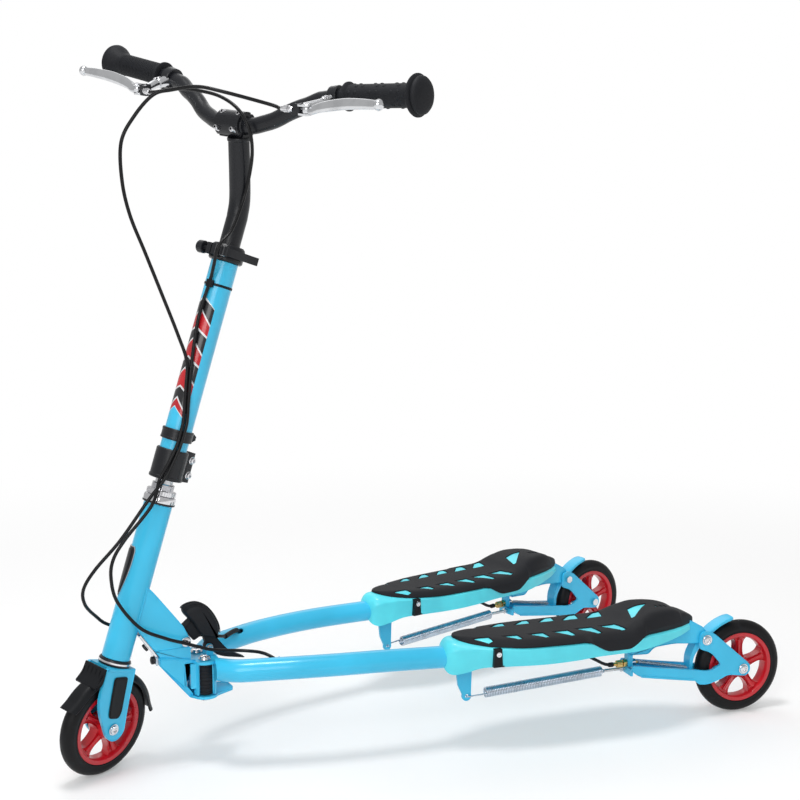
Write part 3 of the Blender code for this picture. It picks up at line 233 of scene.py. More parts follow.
def around(foot, axis, rings, sides=48):
    # rings of (height, radius at each angle): a star or a hexagon keeps its corners
    axis = unit(np.asarray(axis, float))
    across = unit(np.cross(axis, [1.0, 0, 0] if abs(axis[0]) < 0.9 else [0, 1.0, 0]))
    up = np.cross(axis, across)
    turn = np.linspace(0, 2 * np.pi, sides, endpoint=False)
    ring = np.cos(turn)[:, None] * across + np.sin(turn)[:, None] * up
    return skin([np.asarray(foot, float) + height * axis + np.broadcast_to(r, (sides,))[:, None] * ring
                 for height, r in rings])


turnFine = np.linspace(0, 2 * np.pi, 48, endpoint=False)
hexFine = np.cos(np.pi / 6) / np.cos((turnFine % (np.pi / 3)) - np.pi / 6)
starFine = 1 + 0.16 * np.cos(6 * turnFine)


def bolt(foot, axis, radius, height, socket="star"):
    # a domed head with a star or hexagon socket sunk in its middle
    well = (starFine if socket == "star" else hexFine) * radius * 0.48
    rings = [(0, radius), (height * 0.55, radius), (height * 0.8, radius * 0.95), (height * 0.95, radius * 0.8),
             (height, well * 1.08), (height * 0.9, well), (height * 0.25, well * 0.94), (height * 0.25, 0.0002)]
    return around(foot, axis, rings)


def nut(foot, axis, radius, height):
    # a hexagon whose corners are turned down at both faces
    rings = [(0, np.minimum(hexFine, 0.93) * radius), (height * 0.15, hexFine * radius),
             (height * 0.85, hexFine * radius), (height, np.minimum(hexFine, 0.93) * radius)]
    return around(foot, axis, rings)


def coil(start, end, radius, wire, turns, sides=8, perTurn=16):
    # a helix: the wire's middle runs round the axis while it moves along it
    start, end = np.asarray(start, float), np.asarray(end, float)
    axis = unit(end - start)
    across = unit(np.cross(axis, [0, 0, 1.0] if abs(axis[2]) < 0.9 else [1.0, 0, 0]))
    up = np.cross(axis, across)
    s = np.linspace(0, 1, int(turns * perTurn) + 1)
    turn = 2 * np.pi * turns * s
    out = np.cos(turn)[:, None] * across + np.sin(turn)[:, None] * up
    path = start + (end - start) * s[:, None] + radius * out
    round_ = np.linspace(0, 2 * np.pi, sides, endpoint=False)[None, :, None]
    return skin(path[:, None] + wire * (np.cos(round_) * out[:, None] + np.sin(round_) * axis))


def frameAt(origin, along, up):
    # a place from its own axes: the first two are given, and the second is squared up to the first
    along = unit(np.asarray(along, float))
    up = np.asarray(up, float)
    up = unit(up - along * (along @ up))
    matrix = np.eye(4)
    matrix[:3, :3] = np.column_stack([along, up, np.cross(along, up)])
    matrix[:3, 3] = origin
    return matrix


def moved(shape, matrix):
    points, faces = shape
    flipped = np.linalg.det(matrix[:3, :3]) < 0
    return at(matrix, points), [face[::-1] for face in faces] if flipped else faces


def copies(shape, matrices):
    # one shape set down at every place in the stack
    points, faces = shape
    matrices = np.asarray(matrices)
    spread = np.einsum("kij,nj->kni", matrices[:, :3, :3], points) + matrices[:, None, :3, 3]
    count = len(points)
    return spread.reshape(-1, 3), [[c + k * count for c in face] for k in range(len(matrices)) for face in faces]


def put(name, shapes, place, body, finish, replaces=(), sharp=32):
    # joins the shapes into one piece, in the floor's axes, and lets it ride on a body
    points, faces, start = [], [], 0
    for shapePoints, shapeFaces in shapes:
        points.append(shapePoints)
        faces += [[corner + start for corner in face] for face in shapeFaces]
        start += len(shapePoints)
    if np.linalg.det(place[:3, :3]) < 0:
        faces = [face[::-1] for face in faces]
    mesh = bpy.data.meshes.new(name)
    mesh.from_pydata(at(place, np.vstack(points)).tolist(), [], faces)
    mesh.polygons.foreach_set("use_smooth", [True] * len(mesh.polygons))
    mesh.set_sharp_from_angle(angle=np.radians(sharp))
    material, slot = finishes[finish]
    mesh.materials.append(material)
    piece = bpy.data.objects.new(name, mesh)
    bpy.context.collection.objects.link(piece)
    if body:
        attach(piece, body)
    if replaces:
        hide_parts(*replaces)
    return piece


# Finishes. A wire is one socket of a material's nodes, and takes part in Python sums.


class Wire:
    def __init__(self, board, socket):
        self.board, self.socket = board, socket

    def sum(self, operation, *values):
        return self.board.add("ShaderNodeMath", {"operation": operation}, dict(enumerate(values)))

    def __add__(self, other):
        return self.sum("ADD", self, other)

    def __radd__(self, other):
        return self.sum("ADD", other, self)

    def __sub__(self, other):
        return self.sum("SUBTRACT", self, other)

    def __rsub__(self, other):
        return self.sum("SUBTRACT", other, self)

    def __mul__(self, other):
        return self.sum("MULTIPLY", self, other)

    def __rmul__(self, other):
        return self.sum("MULTIPLY", other, self)

    def __truediv__(self, other):
        return self.sum("DIVIDE", self, other)

    def __gt__(self, other):
        return self.sum("GREATER_THAN", self, other)

    def __lt__(self, other):
        return self.sum("LESS_THAN", self, other)

    def __abs__(self):
        return self.sum("ABSOLUTE", self)

    def step(self, low, high):
        # 0 below low and 1 above high, with a soft turn between
        return self.board.add("ShaderNodeMapRange", {"interpolation_type": "SMOOTHSTEP"},
                              {"Value": self, "From Min": low, "From Max": high})


class Board:
    # the nodes of one material, all made by one method
    def __init__(self, name, gleam=0.5):
        self.material = bpy.data.materials.new(name)
        self.material.use_nodes = True
        self.nodes, self.links = self.material.node_tree.nodes, self.material.node_tree.links
        self.shader = self.nodes["Principled BSDF"]
        self.shader.inputs["Specular IOR Level"].default_value = gleam
        self.place = Wire(self, self.nodes.new("ShaderNodeTexCoord").outputs["Object"])

    def join(self, value, socket):
        if isinstance(value, Wire):
            self.links.new(value.socket, socket)
        else:
            socket.default_value = value

    def add(self, kind, settings, inputs, output=0):
        node = self.nodes.new(kind)
        for name, value in settings.items():
            setattr(node, name, value)
        for key, value in inputs.items():
            self.join(value, node.inputs[key])
        return Wire(self, node.outputs[output])

    def noise(self, scale, detail=2.0, place=None):
        return self.add("ShaderNodeTexNoise", {}, {"Vector": place or self.place, "Scale": scale, "Detail": detail})

    def cells(self, scale):
        return self.add("ShaderNodeTexVoronoi", {}, {"Vector": self.place, "Scale": scale})

    def mix(self, share, first, second):
        return self.add("ShaderNodeMix", {"data_type": "RGBA"}, {0: share, 6: first, 7: second}, 2)

    def stretched(self, location, rotation, scale):
        # the pattern's own axes: moved, turned, and drawn out by scale
        return self.add("ShaderNodeMapping", {"vector_type": "TEXTURE"},
                        {"Vector": self.place, "Location": location, "Rotation": rotation, "Scale": scale})

    def bump(self, height, distance, strength=1.0):
        return self.add("ShaderNodeBump", {}, {"Height": height, "Distance": distance, "Strength": strength})

    def finish(self, **sockets):
        for name, value in sockets.items():
            self.join(value, self.shader.inputs[name.replace("_", " ")])
        return self.material


def shade(colour, amount):
    return (*(min(c * amount, 1.0) for c in colour), 1.0)


def painted(name, look):
    # stoved paint: a faint orange peel, slow changes of tone, and dust nibs
    board = Board(name, look["gleam"])
    slow = board.noise(9.0, 3.0)
    peel = board.noise(look["peelScale"], 2.0)
    nibs = board.cells(260.0).step(0.10, 0.02) * board.noise(40.0).step(0.62, 0.70)
    colour = board.mix(slow.step(0.3, 0.7), shade(look["colour"], 0.93), shade(look["colour"], 1.06))
    rough = look["roughness"] + (slow - 0.5) * 0.12 + nibs * 0.25
    return board.finish(Base_Color=colour, Roughness=rough, Metallic=look["metallic"], Coat_Weight=look["coat"],
                        Coat_Roughness=0.08, Normal=board.bump(peel + nibs * 0.7, look["peelDepth"]))


def moulded(name, look):
    # plastic or rubber: a spark-eroded grain, rubbed smoother here and there
    board = Board(name, look.get("gleam", 0.5))
    grain = board.noise(look["grainScale"], 4.0)
    rubbed = board.noise(14.0, 3.0).step(0.35, 0.75)
    colour = board.mix(rubbed, shade(look["colour"], 0.9), shade(look["colour"], 1.12))
    rough = look["roughness"] + rubbed * 0.10 + (grain - 0.5) * 0.10
    return board.finish(Base_Color=colour, Roughness=rough, Coat_Weight=look.get("coat", 0.0),
                        Normal=board.bump(grain, look["grainDepth"]))


def plated(name, look):
    # bright metal: hairlines drawn out one way, and a cloudy film of handling
    board = Board(name)
    hairs = board.noise(900.0, 2.0, board.stretched((0, 0, 0), (0.4, 0.3, 0.2), (1.0, 14.0, 1.0)))
    film = board.noise(55.0, 4.0).step(0.35, 0.8)
    colour = board.mix(film, shade(look["colour"], 1.0), shade(look["colour"], 0.82))
    rough = look["roughness"] + film * 0.12 + (hairs - 0.5) * 0.08
    return board.finish(Base_Color=colour, Metallic=1.0, Roughness=rough, Normal=board.bump(hairs, look["hairDepth"]))


def rolled(name, look):
    # cast urethane: satin, scuffed in patches and dusty in the scuffs
    board = Board(name, look["gleam"])
    scuff = board.noise(70.0, 5.0).step(0.5, 0.72)
    fine = board.noise(900.0, 3.0)
    colour = board.mix(scuff, shade(look["colour"], 0.9), shade(look["colour"], 1.9))
    rough = look["roughness"] + scuff * 0.22 + (fine - 0.5) * 0.12
    return board.finish(Base_Color=colour, Roughness=rough, Normal=board.bump(fine + scuff * 0.4, 0.00012))


def stickered(name, look):
    # the stem's paint with a red and black pattern of slanted bars round its front and left
    board = Board(name)
    turn = steerPlace[:3, :3]
    pitch = -np.arcsin(turn[2, 0])
    angles = (np.arctan2(turn[2, 1], turn[2, 2]), pitch, np.arctan2(turn[1, 0], turn[0, 0]))
    local = board.stretched(tuple(steerPlace[:3, 3]), angles, (1, 1, 1))
    parts = [board.add("ShaderNodeSeparateXYZ", {}, {0: local}, k) for k in range(3)]
    across, back, height = parts
    bearing = board.add("ShaderNodeMath", {"operation": "ARCTAN2"}, {0: back, 1: across})
    round_ = bearing + look["middle"]  # 0 along the middle of the pattern
    slant = height + abs(round_) * look["slope"]
    inside = (slant > look["low"]) * (slant < look["high"]) * (abs(round_) < look["reach"])
    wave = board.add("ShaderNodeMath", {"operation": "PINGPONG"}, {0: slant - look["low"], 1: look["pitch"] / 2})
    split = wave / (look["pitch"] / 2) - 0.62 + abs(round_) * 0.22
    black = split > 0.0
    rim = abs(split) < 0.07
    edge = (abs(slant - look["low"]) < 0.0012) + (abs(slant - look["high"]) < 0.0012)
    flash = board.noise(30.0, 2.0)
    red = board.mix(flash.step(0.3, 0.7), (0.42, 0.006, 0.012, 1), (0.60, 0.012, 0.02, 1))
    printed = board.mix(black, red, (0.012, 0.012, 0.014, 1))
    printed = board.mix(rim + edge, printed, (0.78, 0.80, 0.82, 1))
    slow = board.noise(9.0, 3.0)
    paint = board.mix(slow.step(0.3, 0.7), shade(look["colour"], 0.93), shade(look["colour"], 1.06))
    colour = board.mix(inside, paint, printed)
    peel = board.noise(420.0, 2.0)
    rough = 0.3 + (slow - 0.5) * 0.12 - inside * 0.06
    return board.finish(Base_Color=colour, Roughness=rough, Coat_Weight=0.35, Coat_Roughness=0.08,
                        Normal=board.bump(peel * 0.5 + inside, 0.00006))


looks = {
    "blue": {"colour": (0.045, 0.560, 0.870), "roughness": 0.30, "metallic": 0.0, "coat": 0.30,
             "peelScale": 420.0, "peelDepth": 0.00005, "gleam": 0.4},
    "black": {"colour": (0.010, 0.011, 0.014), "roughness": 0.36, "metallic": 0.0, "coat": 0.12,
              "peelScale": 900.0, "peelDepth": 0.00008, "gleam": 0.3},
    "shell": {"colour": (0.105, 0.790, 0.930), "roughness": 0.36, "grainScale": 900.0, "grainDepth": 0.00005,
              "coat": 0.15},
    "plastic": {"colour": (0.007, 0.008, 0.010), "roughness": 0.42, "grainScale": 1100.0, "grainDepth": 0.00010,
                "gleam": 0.22},
    "rubber": {"colour": (0.013, 0.014, 0.017), "roughness": 0.58, "grainScale": 1500.0, "grainDepth": 0.00014,
               "gleam": 0.22},
    "sleeve": {"colour": (0.006, 0.006, 0.007), "roughness": 0.30, "grainScale": 700.0, "grainDepth": 0.00004,
               "gleam": 0.25},
    "red": {"colour": (0.560, 0.008, 0.018), "roughness": 0.28, "grainScale": 500.0, "grainDepth": 0.00003,
            "coat": 0.3},
    "tyre": {"colour": (0.006, 0.006, 0.007), "roughness": 0.42, "gleam": 0.2},
    "steel": {"colour": (0.66, 0.67, 0.69), "roughness": 0.22, "hairDepth": 0.00002},
    "chrome": {"colour": (0.78, 0.78, 0.80), "roughness": 0.08, "hairDepth": 0.00001},
    "polished": {"colour": (0.74, 0.75, 0.77), "roughness": 0.16, "hairDepth": 0.00002},
    "zinc": {"colour": (0.64, 0.70, 0.78), "roughness": 0.20, "hairDepth": 0.00002},
    "brass": {"colour": (0.72, 0.50, 0.18), "roughness": 0.24, "hairDepth": 0.00002},
    "sticker": {"colour": (0.045, 0.560, 0.870), "middle": 1.62, "reach": 1.02, "slope": 0.016,
                "low": 0.5320, "high": 0.6900, "pitch": 0.0420},
}
finishes = {  # each finish and the slot that it belongs to
    "blue": (painted("bluePaint", looks["blue"]), "blue_paint"),
    "sticker": (stickered("stemPaint", looks["sticker"]), "blue_paint"),
    "shell": (moulded("cyanShell", looks["shell"]), "shell_plastic"),
    "black": (painted("satinBlack", looks["black"]), "black_alloy"),
    "iron": (painted("satinBlackSteel", looks["black"]), "black_metal"),
    "plastic": (moulded("blackPlastic", looks["plastic"]), "black_plastic"),
    "rubber": (moulded("treadRubber", looks["rubber"]), "black_rubber"),
    "sleeve": (moulded("cableSleeve", looks["sleeve"]), "black_rubber"),
    "tyre": (rolled("urethane", looks["tyre"]), "tyre"),
    "red": (moulded("redRim", looks["red"]), "red_plastic"),
    "steel": (plated("brightSteel", looks["steel"]), "bright_steel"),
    "chrome": (plated("chrome", looks["chrome"]), "bright_steel"),
    "zinc": (plated("zincSpring", looks["zinc"]), "bright_steel"),
    "polished": (plated("polishedAlloy", looks["polished"]), "polished_alloy"),
    "brass": (plated("brass", looks["brass"]), "brass"),
}
print("finishes made:", len(finishes))


# Wheels, drawn about their own centre with the axle along X

wheel = {
    "radius": 0.0725,
    "tyreHalf": 0.0118,
    "rimRadius": 0.0543,
    "rimHalf": 0.0112,
    "bandInside": 0.0472,
    "hubRadius": 0.0150,
    "hubHalf": 0.0158,
    "spokes": 5,
}


def wheelSet(name, place, body):
    crown = wheel["radius"] - wheel["tyreHalf"]
    side = wheel["tyreHalf"]
    # the tread is a half circle, and a bead runs round each side
    tread = [(crown + a, b) for b, a in arc((0, 0), side, 0, 180, 32)]
    tread[16] = (wheel["radius"], 0.0)
    tyre = [(wheel["rimRadius"] + 0.0002, -0.0104), (wheel["rimRadius"] + 0.0002, 0.0104), (0.0552, 0.0114),
            (0.0562, 0.0117), (0.0568, 0.0113), (0.0585, 0.0114)] + tread
    tyre += [(0.0585, -0.0114), (0.0568, -0.0113), (0.0562, -0.0117), (0.0552, -0.0114)]
    put(name + "Tyre", [turned(tyre, (0, 0, 0), (1, 0, 0), 96)], place, body, "tyre", [name + "_tyre"], 40)

    inside, outer, half = wheel["bandInside"], wheel["rimRadius"] - 0.0001, wheel["rimHalf"]
    band = [(inside, -half + 0.0026), (inside + 0.0014, -half + 0.0004), (inside + 0.0030, -half), (outer, -half),
            (outer, half), (inside + 0.0030, half), (inside + 0.0014, half - 0.0004), (inside, half - 0.0026),
            (inside - 0.0006, 0.0040), (inside - 0.0006, -0.0040)]
    hub, hubHalf = wheel["hubRadius"], wheel["hubHalf"]
    core = [(0.0046, -hubHalf + 0.002), (0.0112, -hubHalf + 0.002), (0.0112, -hubHalf), (hub - 0.0012, -hubHalf),
            (hub, -hubHalf + 0.0012), (hub + 0.0012, -0.0080), (hub + 0.0012, 0.0080), (hub, hubHalf - 0.0012),
            (hub - 0.0012, hubHalf), (0.0112, hubHalf), (0.0112, hubHalf - 0.002), (0.0046, hubHalf - 0.002)]
    shapes = [turned(band, (0, 0, 0), (1, 0, 0), 96), turned(core, (0, 0, 0), (1, 0, 0), 48)]
    # one edge of a spoke: wide at the hub, waisted, and flared into the band
    flank = spline([(0.0130, 0.0098), (0.0190, 0.0066), (0.0300, 0.0053), (0.0390, 0.0066), (0.0452, 0.0112),
                    (0.0480, 0.0180)], 5)
    spoke = np.vstack([flank, flank[::-1] * (1, -1)])
    for k in range(wheel["spokes"]):
        turn = spin("X", 90 + 360 / wheel["spokes"] * k)
        shapes.append(moved(slab(spoke, -0.0074, 0.0074, 0.0020), turn))
        rib = slab(rounded([(0.0160, 0.0022), (0.0440, 0.0030), (0.0440, -0.0030), (0.0160, -0.0022)], 0.002),
                   -0.0086, 0.0086, 0.0012)
        shapes.append(moved(rib, turn))
    put(name + "Rim", shapes, place, body, "red", [name + "_rim"], 40)
    race = [(0.0048, 0.0), (0.0050, 0.0010), (0.0064, 0.0010), (0.0066, 0.0004), (0.0092, 0.0004), (0.0094, 0.0010),
            (0.0109, 0.0010), (0.0111, 0.0)]
    races = [turned(race, (side * (hubHalf - 0.0021), 0, 0), (side, 0, 0), 40) for side in (1, -1)]
    put(name + "Bearings", races, place, body, "steel")


forkLook = {
    "offset": 0.0117,
    "legInside": 0.0165,
    "legOutside": 0.0212,
    "crownLow": 0.1600,
    "crownHigh": 0.1655,
    "steerer": 0.0125,
}
lean = np.arcsin(np.sin(np.radians(scooter["parkedTurn"])) * np.sin(np.radians(scooter["rake"])))
hubHeight = (wheel["radius"] - wheel["tyreHalf"]) * np.cos(lean) + wheel["tyreHalf"]
hubAlong = hubHeight + forkLook["offset"] * np.cos(np.radians(scooter["parkedTurn"])) * np.sin(
    np.radians(scooter["rake"]))
hubAlong /= np.cos(np.radians(scooter["rake"]))
hub = (0.0, forkLook["offset"], hubAlong)


def throughBolt(name, centre, reach, place, body, node):
    # a star-headed bolt through both cheeks, with a washer under the head and a nut at the far end
    x, y, z = centre
    shapes = [rod((x - reach - 0.0036, y, z), (x + reach + 0.001, y, z), 0.0040)]
    shapes.append(turned([(0.0042, 0.0), (0.0042, 0.0008), (0.0078, 0.0008), (0.0080, 0.0006), (0.0080, 0.0)],
                         (x + reach + 0.0002, y, z), (1, 0, 0)))
    shapes.append(bolt((x + reach + 0.0008, y, z), (1, 0, 0), 0.0066, 0.0031))
    shapes.append(nut((x - reach - 0.0003, y, z), (-1, 0, 0), 0.0066, 0.0042))
    put(name, shapes, place, body, "chrome", [node])


def steeringFork():
    look = forkLook
    low, high = look["crownLow"], look["crownHigh"]
    leg = rounded([(-0.0304, high - 0.0002), (-0.0300, 0.1200), (-0.0220, 0.1000), (-0.0060, 0.0782),
                   (0.0020, 0.0672), (0.0110, 0.0618), (0.0190, 0.0614), (0.0265, 0.0650), (0.0310, 0.0715),
                   (0.0326, 0.0780), (0.0262, 0.1201), (0.0226, high - 0.0002)],
                  [0.004, 0.012, 0.012, 0.008, 0.006, 0.005, 0.005, 0.005, 0.005, 0.008, 0.02, 0.005], 5)
    shapes = [slab(leg, side * (look["legInside"] + look["legOutside"]) / 2 - 0.00235,
                   side * (look["legInside"] + look["legOutside"]) / 2 + 0.00235, 0.0011) for side in (1, -1)]
    crown = rounded([(-0.0212, low + 0.0004), (0.0212, low + 0.0004), (0.0212, high), (-0.0212, high)], 0.0022, 5)
    shapes.append(slab(crown, -0.0270, 0.0226, 0.0010, "xz"))
    for side in (1, -1):  # the bend between crown and leg
        bend = rounded([(side * 0.0166, 0.1500), (side * 0.0166, low), (side * 0.0110, low), (side * 0.0110, low + 0.002),
                        (side * 0.0190, low + 0.002), (side * 0.0190, 0.1500)], 0.001, 3)
        shapes.append(slab(bend, -0.0262, 0.0220, 0.0006, "xz"))
    steerer = turned([(0.0105, high - 0.001), (look["steerer"], high - 0.001), (look["steerer"], 0.4698),
                      (0.0120, 0.4702), (0.0105, 0.4702)], (0, 0, 0), (0, 0, 1), 48)
    put("steerer", [steerer], steerPlace, "steering", "steel")
    shapes.append(turned([(0.0122, high - 0.0005), (0.0190, high - 0.0005), (0.0186, high + 0.0030),
                          (0.0150, high + 0.0052), (0.0122, high + 0.0056)], (0, 0, 0), (0, 0, 1), 48))
    put("forkLegs", shapes, steerPlace, "steering", "blue", ["fork"])
    panel = rounded([(-0.0130, 0.1530), (0.0118, 0.1545), (0.0178, 0.1040), (0.0150, 0.0945), (-0.0030, 0.0945),
                     (-0.0062, 0.1040)], [0.0055, 0.0055, 0.0060, 0.0050, 0.0050, 0.0060], 5)
    raised = inset(panel, 0.0022)
    inlay = []
    for side in (1, -1):
        face = side * look["legOutside"]
        inlay.append(slab(panel, face - 0.0003, face + 0.0003, 0.0002))
        inlay.append(slab(raised, face - 0.0001 * side, face + 0.0007 * side, 0.0003) if side > 0 else
                     slab(raised, face - 0.0007, face + 0.0001, 0.0003))
    put("forkInlays", inlay, steerPlace, "steering", "plastic")
    throughBolt("frontAxle", hub, look["legOutside"], steerPlace, "steering", "front_axle")
    wheelSet("front", steerPlace @ shift(*hub), "front_wheel")


def frontFender():
    # a shell over the tyre: an arch of rings whose sides curl down, and whose ends flick outwards
    turn = np.radians(np.linspace(17, 164, 60))[:, None]
    across = np.linspace(-1, 1, 25)[None, :]
    ends = np.clip(np.abs(turn - np.radians(90.5)) / np.radians(73.5), 0, 1)
    flick = 0.0042 * np.clip((ends - 0.82) / 0.18, 0, 1) ** 2
    outer = wheel["radius"] + 0.0070 + flick - 0.0075 * np.abs(across) ** 5 - 0.0014 * across**2
    inner = outer - 0.0022
    wide = 0.0150 * across
    rings = []
    for radius, x in ((outer, wide), (inner[:, ::-1], wide[:, ::-1] * 0.93)):
        rings.append(np.stack([np.broadcast_to(x, radius.shape), hub[1] + radius * np.cos(turn),
                               hub[2] + radius * np.sin(turn)], axis=-1))
    shapes = [skin(np.concatenate(rings, axis=1))]
    nose = rounded([(-0.0310, 0.1642), (-0.0337, 0.1642), (-0.0352, 0.1500), (-0.0432, 0.1372), (-0.0408, 0.1345),
                    (-0.0310, 0.1420)], [0.0008, 0.0014, 0.006, 0.001, 0.001, 0.004], 4)
    shapes.append(slab(nose, -0.0205, 0.0205, 0.0018))
    shapes.append(slab(rounded([(-0.0325, 0.1450), (-0.0325, 0.1632), (-0.0050, 0.1596), (-0.0050, 0.1540)], 0.001),
                       -0.0148, 0.0148, 0.0008))
    for x in (-0.0118, -0.0040, 0.0040, 0.0118):  # stiffening ribs down the face of the block
        shapes.append(slab(rounded([(-0.0350, 0.1480), (-0.0338, 0.1610), (-0.0346, 0.1610), (-0.0360, 0.1490)],
                                   0.0003), x - 0.0006, x + 0.0006, 0.0003))
    put("frontFender", shapes, steerPlace, "steering", "plastic", ["front_fender"])


steeringFork()
frontFender()
print("front wheel, fork and fender made")

headLook = {
    "low": 0.1750,
    "high": 0.3955,
    "radius": 0.0200,
    "bore": 0.0175,
    "cupRadius": 0.0225,
    "badgeLow": 0.2600,
    "badgeHigh": 0.3320,
    "badgeHalf": 0.0118,
}
foldPin = (-0.3590, 0.1800)
headFoot, headUp = headPlace[:3, 3], headPlace[:3, 2]


def inWorld(shape):
    # a shape of the raked head, given in the bracket's axes
    return moved(shape, np.linalg.inv(bracketPlace) @ headPlace)


def frontFrame():
    low, high, radius, bore = (headLook[key] for key in ("low", "high", "radius", "bore"))
    head = [(bore, low), (radius - 0.0008, low), (radius, low + 0.0008), (radius, high - 0.0008),
            (radius - 0.0008, high), (bore, high)]
    shapes = [inWorld(turned(head, (0, 0, 0), (0, 0, 1), 72))]
    # the box behind the head: two cheeks and a folded back, closed to a nose round the fold pin
    gusset = np.vstack([spline([(-0.4125, 0.2650), (-0.4040, 0.2575), (-0.3800, 0.2265), (-0.3615, 0.2021)], 6),
                        arc(foldPin, 0.0078, 50, -90, 14),
                        rounded([(-0.3590, 0.1722), (-0.4040, 0.1722), (-0.4258, 0.2036), (-0.4330, 0.2120)],
                                0.004, 3)[4:12]])
    shapes.append(slab(gusset, 0.0068, 0.0165, 0.0013))
    shapes.append(slab(gusset, -0.0165, -0.0068, 0.0013))
    solid = np.vstack([spline([(-0.4125, 0.2645), (-0.4040, 0.2570), (-0.3800, 0.2260), (-0.3625, 0.2030)], 6),
                       [(-0.3700, 0.1960), (-0.3700, 0.1730), (-0.4030, 0.1730), (-0.4320, 0.2110)]])
    shapes.append(slab(solid, -0.0085, 0.0085, 0.0004))
    # beads of weld where the cheeks meet the head tube
    for side in (1, -1):
        line = np.column_stack([np.full(40, side * 0.0158), np.linspace(-0.4275, -0.4108, 40),
                                np.linspace(0.2100, 0.2655, 40)])
        swell = 0.0014 + 0.00022 * np.sin(np.linspace(0, 26 * np.pi, 40))
        shapes.append(tube(line, swell, 10))
    put("headAndGusset", shapes, bracketPlace, "front_frame", "blue", ["front_frame"])
    for name, bottom, top, finish in (("lowerHeadset", forkLook["crownHigh"] + 0.0004, low - 0.0002, "iron"),
                                      ("upperHeadset", high + 0.0002, high + 0.0120, "chrome")):
        cup = [(0.0133, bottom), (0.0212, bottom), (0.0222, bottom + 0.0010), (0.0225, bottom + 0.0028),
               (0.0225, top - 0.0026), (0.0216, top - 0.0006), (0.0205, top), (0.0133, top)]
        node = {"lowerHeadset": "lower_headset", "upperHeadset": "upper_headset"}[name]
        put(name, [turned(cup, (0, 0, 0), (0, 0, 1), 72)], headPlace, "front_frame", finish, [node])
        upper = name == "upperHeadset"
        middle = bottom + 0.0018 if upper else (bottom + top) / 2
        trim = [(0.0218, middle - 0.0016), (0.0228, middle - 0.0012), (0.0228, middle + 0.0012),
                (0.0218, middle + 0.0016)]
        put(name + "Trim", [turned(trim, (0, 0, 0), (0, 0, 1), 72)], headPlace, "front_frame",
            "iron" if upper else "chrome")


def headBadge():
    # a bare shield: a bright rim, a dark field and a raised middle, all bent round the tube
    low, high, half, radius = (headLook[key] for key in ("badgeLow", "badgeHigh", "badgeHalf", "radius"))

    def shield(shrink, floor, top):
        s = np.linspace(0, 1, 40)
        wide = (half - shrink) * np.clip(np.sin(np.pi * np.clip(s * 0.62 + 0.02, 0, 0.5)) ** 0.75, 0, 1)
        wide *= 1 - 0.25 * np.clip((s - 0.9) / 0.1, 0, 1) ** 2
        height = low + shrink + (high - low - 2 * shrink) * s
        across = np.linspace(-1, 1, 21)
        turn = wide[:, None] / radius * np.concatenate([across, across[::-1]])
        out = radius + np.concatenate([np.full(21, top), np.full(21, floor)])
        return skin(np.stack([out * np.sin(turn), -out * np.cos(turn),
                              np.broadcast_to(height[:, None], turn.shape)], axis=-1))

    put("badgeRim", [shield(0.0, 0.0002, 0.0014)], headPlace, "front_frame", "chrome")
    put("badgeField", [shield(0.0013, 0.0010, 0.0017)], headPlace, "front_frame", "iron")
    put("badgeMiddle", [shield(0.0050, 0.0013, 0.0024)], headPlace, "front_frame", "iron")


frontFrame()
headBadge()
print("head, gusset and headset made")


# Stem and bar, in the frame that turns with the fork

stemLook = {
    "radius": 0.0190,
    "bore": 0.0170,
    "low": 0.4316,
    "high": 0.7412,
    "clampLow": 0.4310,
    "clampHigh": 0.4734,
    "ringLow": 0.4862,
    "ringHigh": 0.5016,
    "collarLow": 0.7416,
    "collarHigh": 0.7650,
    "postRadius": 0.0146,
}


def collarRing(inner, outer, low, high, edge=0.0012):
    return turned([(inner, low), (outer - edge, low), (outer, low + edge), (outer, high - edge), (outer - edge, high),
                   (inner, high)], (0, 0, 0), (0, 0, 1), 72)


